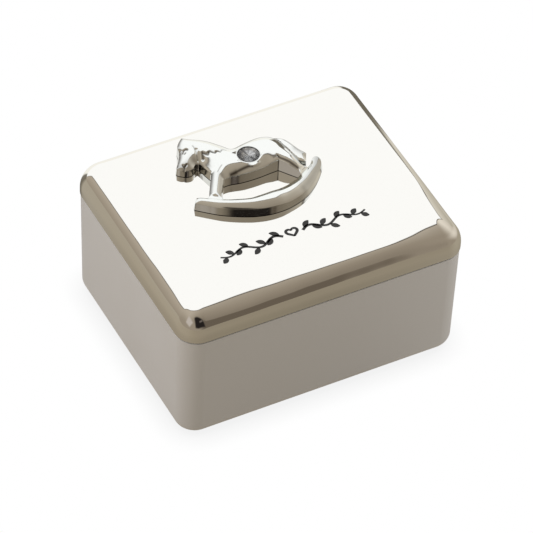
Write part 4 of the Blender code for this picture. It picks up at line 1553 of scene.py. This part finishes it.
@dataclass
class HingeScrews:
    """The four screws: a low domed head with a cross recess over a plain shank."""

    head_radius: float = 0.75 * MM
    head_height: float = 0.35 * MM
    shank_radius: float = 0.4 * MM
    dome: float = 0.3
    recess: float = 0.14 * MM
    cross_half: tuple[float, float] = (0.42 * MM, 0.09 * MM)

    def build(self, material: Material) -> None:
        """Builds each screw where its solid is, pointing towards the back.

        The head's profile falls away from its middle as the square of the distance, by its dome's share.

        Args:
            material: The plated steel.
        """
        for body in ("base", "lid"):
            for end in ("left", "right"):
                node = f"hinge_screw_{body}_{end}"
                low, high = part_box(node)
                middle = middle_of(node)
                out = np.linspace(0, 1, 9)
                profile = [(self.head_radius * x, self.head_height * self.dome * x * x) for x in out]
                profile += [(self.head_radius, self.head_height), (self.shank_radius, self.head_height)]
                profile += [(self.shank_radius, high.y - low.y)]
                screw = turned(node.replace("hinge_", "cross_"), np.array(profile), 40)
                arms = (self.cross_half, self.cross_half[::-1])
                cut(screw, [block("cut_cross", (-x, -y, -MM), (x, y, self.recess)) for x, y in arms])
                turn = Matrix.Rotation(-math.pi / 2, 4, "X")
                placed(screw, Matrix.Translation((middle.x, low.y, middle.z)) @ turn)
                smooth(screw, 40)
                dress(screw, material, body, "plated_steel", node)


def dress_solids(materials: dict[str, Material]) -> None:
    """Gives the solids that keep their own shape a made material.

    Args:
        materials: The material of each node.
    """
    for node, material in materials.items():
        mesh = frame["nodes"][node].data
        mesh.materials.clear()
        mesh.materials.append(material)
        LOG.info("%s keeps its solid", node)


# Studio


@dataclass(frozen=True)
class Panel:
    """A patch of one colour on the map of the studio.

    The map is seen from the box: straight up is its middle, and a direction lies as many degrees from
    there as it lies from straight up, to the right for +X and up for +Y. The outline runs anticlockwise.
    """

    colour: str
    soft: float
    outline: tuple

    def edges(self) -> list[tuple[float, float, float]]:
        """Works out how a place's distance inside each side follows from the place.

        Returns:
            Each side's a, b and c, where a p + b q + c is the distance in degrees inside it at (p, q).
        """
        made = []
        for (x0, y0), (x1, y1) in zip(self.outline, self.outline[1:] + self.outline[:1]):
            length = math.hypot(x1 - x0, y1 - y0)
            a, b = (y0 - y1) / length, (x1 - x0) / length
            made.append((a, b, -a * x0 - b * y0))
        return made


# What the metal shows of the room: its dim far side, and over it the panels in order.
ROOM_COLOUR = "958A7B"
PANELS = (
    Panel("B3A899", 20, ((-58, -18), (20, -18), (20, 120), (-58, 120))),
    Panel("DFD7CA", 24, ((29, -14), (86, -14), (86, 130), (29, 130))),
    Panel("6A6054", 20, ((-5, -120), (24, -120), (24, -46), (-5, -46))),
    Panel("655B4F", 1.5, ((14, -95), (35.5, -92), (27, -61), (14, -54))),
    Panel(
        "5A5248", 0.8,
        (
            (-47, 110), (-47, 46.5), (-38.9, 24.4), (-32.2, 8.1), (-20.3, -4.3), (-6.5, -12.1),
            (6.8, -15.5), (23.5, -16), (75, 48.5), (85, 110)
        )
    ),
    Panel(
        "FFFFFF", 1.1,
        (
            (-45.5, 110), (-45.5, 47), (-37.5, 25), (-31, 9), (-19.5, -3), (-6, -10.5), (7, -13.2),
            (22.5, -13.5), (72, 50), (82, 110)
        )
    ),
    Panel("BCB3AB", 5, ((-70, -40), (-45, -40), (-47, -4), (-72, -8))),
    Panel("24201E", 5.0, ((-42, -68), (-26, -79), (19, -82), (8, -52), (-10, -34), (-22, -27), (-30, -27))),
    Panel("6F6660", 3, ((-12, -57), (4, -57), (4, -51), (-12, -51)))
)
# The table top round the box, its light painted into the floor's glow: its colour at angles in degrees
# from the back, clockwise from above. The darker front is a painted shadow, and two narrow bands are dark.
TABLE = (
    (-180, "928876"), (-150, "948977"), (-135, "988D7A"), (-120, "9E9381"), (-90, "A19684"),
    (-60, "A59B8A"), (-45, "A8A091"), (-34, "736C5F"), (-23, "78736A"), (-19, "F5F3EC"), (34, "F7F5EE"),
    (38, "6E685C"), (53, "6E685C"), (56, "D4CEC1"), (72, "A9A190"), (90, "A29988"), (120, "A39A89"),
    (150, "948A79"), (165, "8F8574"), (180, "928876")
)


@dataclass
class Studio:
    """A white card over and behind the box, a dim room in front, a pale floor, and the camera."""

    lens_mm: float = 271.18
    sensor_mm: float = 36.0
    camera_place: tuple = (-0.2446567, -0.4411880, 0.5127471)
    camera_turn: tuple = (-29.000, 44.797, 2.670)
    floor_size: float = 6.0
    floor_gap: float = 0.02 * MM
    # Painted shadow of the box on the table's glow: it fades out between these distances from the middle,
    # and is this share of the glow close to the box.
    painted_shadow_span: tuple[float, float] = (0.02, 0.09)
    painted_box_shadow: float = 0.82
    shadow_open: tuple[float, float] = (0.35, 0.95)
    shadow_reach: float = 5 * MM
    shadow_least: float = 0.88
    bounce: float = 1.9
    fill_size: float = 0.08
    fills: tuple = (((-0.16, 0.0, 0.05), 0.044, "FFF5EC"), ((0.11, -0.085, 0.03), 0.034, "FFFAF5"))

    def build(self) -> None:
        """Makes the floor, the light round the box and the camera."""
        self.floor()
        self.world()
        self.lamps()
        self.camera()
        bpy.context.scene.view_settings.view_transform = "Standard"

    def camera(self) -> None:
        """Sets the camera up from its turn to the left, its height angle and its roll."""
        turn, rise, roll = (math.radians(angle) for angle in self.camera_turn)
        back = Vector((math.sin(turn) * math.cos(rise), -math.cos(turn) * math.cos(rise), math.sin(rise)))
        level = Vector((math.cos(turn), math.sin(turn), 0.0))
        upright = back.cross(level)
        right = math.cos(roll) * level + math.sin(roll) * upright
        up = back.cross(right)
        data = bpy.data.cameras.new("camera")
        data.lens = self.lens_mm
        data.sensor_width = self.sensor_mm
        data.clip_start = 0.01
        data.clip_end = 50.0
        camera = bpy.data.objects.new("camera", data)
        turned_to = Matrix((right, up, back)).transposed().to_4x4()
        camera.matrix_world = Matrix.Translation(self.camera_place) @ turned_to
        bpy.context.scene.collection.objects.link(camera)
        bpy.context.scene.camera = camera

    def lamps(self) -> None:
        """Adds a soft lamp at each end of the box that only matt surfaces catch."""
        for place, power, colour in self.fills:
            data = bpy.data.lights.new("fill", "AREA")
            data.size = self.fill_size
            data.energy = power
            data.color = linear(colour)[:3]
            lamp = bpy.data.objects.new("fill", data)
            turned_in = Vector(place).to_track_quat("Z", "Y").to_matrix().to_4x4()
            lamp.matrix_world = Matrix.Translation(place) @ turned_in
            lamp.visible_glossy = False
            lamp.visible_camera = False
            bpy.context.scene.collection.objects.link(lamp)

    def floor(self) -> None:
        """Makes the floor: white to the camera, and a table top in what the metal reflects.

        The table's glow is its painted light: it follows the angle round the box, darker in front where a
        shadow is painted, and it is painted darker close to the box as the box's shadow. Its white part is
        the card's foot. To the camera only the near shadow, from ambient occlusion, shows on it.
        """
        size = self.floor_size
        points = [(x * size, y * size, -self.floor_gap) for x, y in ((-1, -1), (1, -1), (1, 1), (-1, 1))]
        floor = new_object("floor", np.array(points), [[0, 1, 2, 3]])
        material, tree, shader, place = blank_material("studio_floor")
        tree.nodes.remove(shader)
        axes = add_node(tree, "SeparateXYZ", Vector=place)
        angle = add_node(tree, "Math", {"operation": "ARCTAN2"}, i0=axes.outputs["X"], i1=axes.outputs["Y"])
        turn = add_node(tree, "MapRange", i0=angle.outputs[0], i1=-math.pi, i2=math.pi)
        table = add_node(tree, "ValToRGB", Fac=turn.outputs[0])
        stops = table.color_ramp.elements
        while len(stops) < len(TABLE):
            stops.new(1.0)
        for stop, (degrees, colour) in zip(stops, TABLE):
            stop.position = (degrees + 180) / 360
            stop.color = linear(colour)
        far = add_node(tree, "VectorMath", {"operation": "LENGTH"}, i0=place)
        # Painted shadow of the box: the glow is darker close to it.
        rim = add_node(
            tree, "MapRange", {"interpolation_type": "SMOOTHSTEP"}, i0=far.outputs["Value"],
            i1=self.painted_shadow_span[0], i2=self.painted_shadow_span[1], i3=self.painted_box_shadow
        )
        near = add_node(tree, "AmbientOcclusion", {"samples": 16}, Distance=self.shadow_reach)
        shade = add_node(
            tree, "MapRange", i0=near.outputs["AO"], i1=self.shadow_open[0], i2=self.shadow_open[1],
            i3=self.shadow_least
        )
        path = add_node(tree, "LightPath")
        sight = path.outputs["Is Camera Ray"]
        tone = add_node(tree, "Mix", {"data_type": "RGBA"}, i0=sight, i6=table.outputs["Color"], i7=WHITE)
        soft = add_node(tree, "MapRange", i0=path.outputs["Is Diffuse Ray"], i3=1.0, i4=self.bounce)
        lit = add_node(tree, "Math", {"operation": "MULTIPLY"}, i0=rim.outputs[0], i1=soft.outputs[0])
        strength = add_node(
            tree, "Mix", {"data_type": "FLOAT"}, i0=sight, i2=lit.outputs[0], i3=shade.outputs[0]
        )
        glow = add_node(tree, "Emission", Color=tone.outputs[2], Strength=strength.outputs[0])
        tree.links.new(glow.outputs["Emission"], tree.nodes["Material Output"].inputs["Surface"])
        floor.data.materials.append(material)

    def world(self) -> None:
        """Lights the box from the panels, and is white to the camera.

        With t the angle from straight up and r the sine of it, a direction's place on the map is
        t x / r across and t y / r up. A panel covers the map by the product of smooth steps, one over
        the distance inside each of its sides.
        """
        world = bpy.data.worlds.new("studio")
        bpy.context.scene.world = world
        world.use_nodes = True
        tree = world.node_tree
        for node in list(tree.nodes):
            tree.nodes.remove(node)
        direction = add_node(tree, "TexCoord").outputs["Generated"]
        axes = add_node(tree, "SeparateXYZ", Vector=direction)

        def maths(operation: str, *values: object) -> NodeSocket:
            """Adds a Math node and gives its result."""
            inputs = {f"i{index}": value for index, value in enumerate(values)}
            return add_node(tree, "Math", {"operation": operation}, **inputs).outputs[0]

        up = axes.outputs["Z"]
        tilt = maths("DEGREES", maths("ARCCOSINE", up))
        sine = maths("SQRT", maths("MAXIMUM", maths("SUBTRACT", 1.0, maths("MULTIPLY", up, up)), 1e-7))
        scale = maths("DIVIDE", tilt, sine)
        across = maths("MULTIPLY", scale, axes.outputs["X"])
        along = maths("MULTIPLY", scale, axes.outputs["Y"])
        colour = linear(ROOM_COLOUR)
        for panel in PANELS:
            cover = 1.0
            for a, b, c in panel.edges():
                inside = maths("MULTIPLY_ADD", along, b, maths("MULTIPLY_ADD", across, a, c))
                step = add_node(
                    tree, "MapRange", {"interpolation_type": "SMOOTHSTEP"}, i0=inside, i1=-panel.soft,
                    i2=panel.soft
                )
                cover = maths("MULTIPLY", step.outputs[0], cover)
            colour = add_node(
                tree, "Mix", {"data_type": "RGBA"}, i0=cover, i6=colour, i7=linear(panel.colour)
            ).outputs[2]
        sight = add_node(tree, "LightPath").outputs["Is Camera Ray"]
        seen = add_node(tree, "Mix", {"data_type": "RGBA"}, i0=sight, i6=colour, i7=WHITE)
        glow = add_node(tree, "Background", Color=seen.outputs[2], Strength=1.0)
        output = add_node(tree, "OutputWorld")
        tree.links.new(glow.outputs["Background"], output.inputs["Surface"])


def main() -> None:
    """Builds the box piece by piece."""
    logging.basicConfig(level=logging.INFO, format="%(message)s")
    hinge = HingeFit()
    polished = MIRROR_SILVER.make()
    steel = HINGE_STEEL.make()
    nut_steel = NUT_STEEL.make()
    velvet = NAVY_VELVET.make()
    BaseTray().build(SATIN_SILVER.make(), hinge)
    Lid().build(polished, hinge)
    RockingHorse().build(HORSE_SILVER.make())
    Crystal().build(CUT_CRYSTAL.make(), CRYSTAL_FOIL.make())
    LidScroll().build(LINE_ENAMEL.make())
    Linings().build(velvet, BLACK_FELT.make())
    HingeScrews().build(steel)
    dress_solids(
        {
            "hinge_leaf_base": steel,
            "hinge_leaf_lid": steel,
            "hinge_pin": steel,
            "horse_nut_body": nut_steel,
            "horse_nut_rocker": nut_steel,
            "lid_lining_card": LINING_CARD.make(),
        }
    )
    Studio().build()


if __name__ == "__main__":
    main()
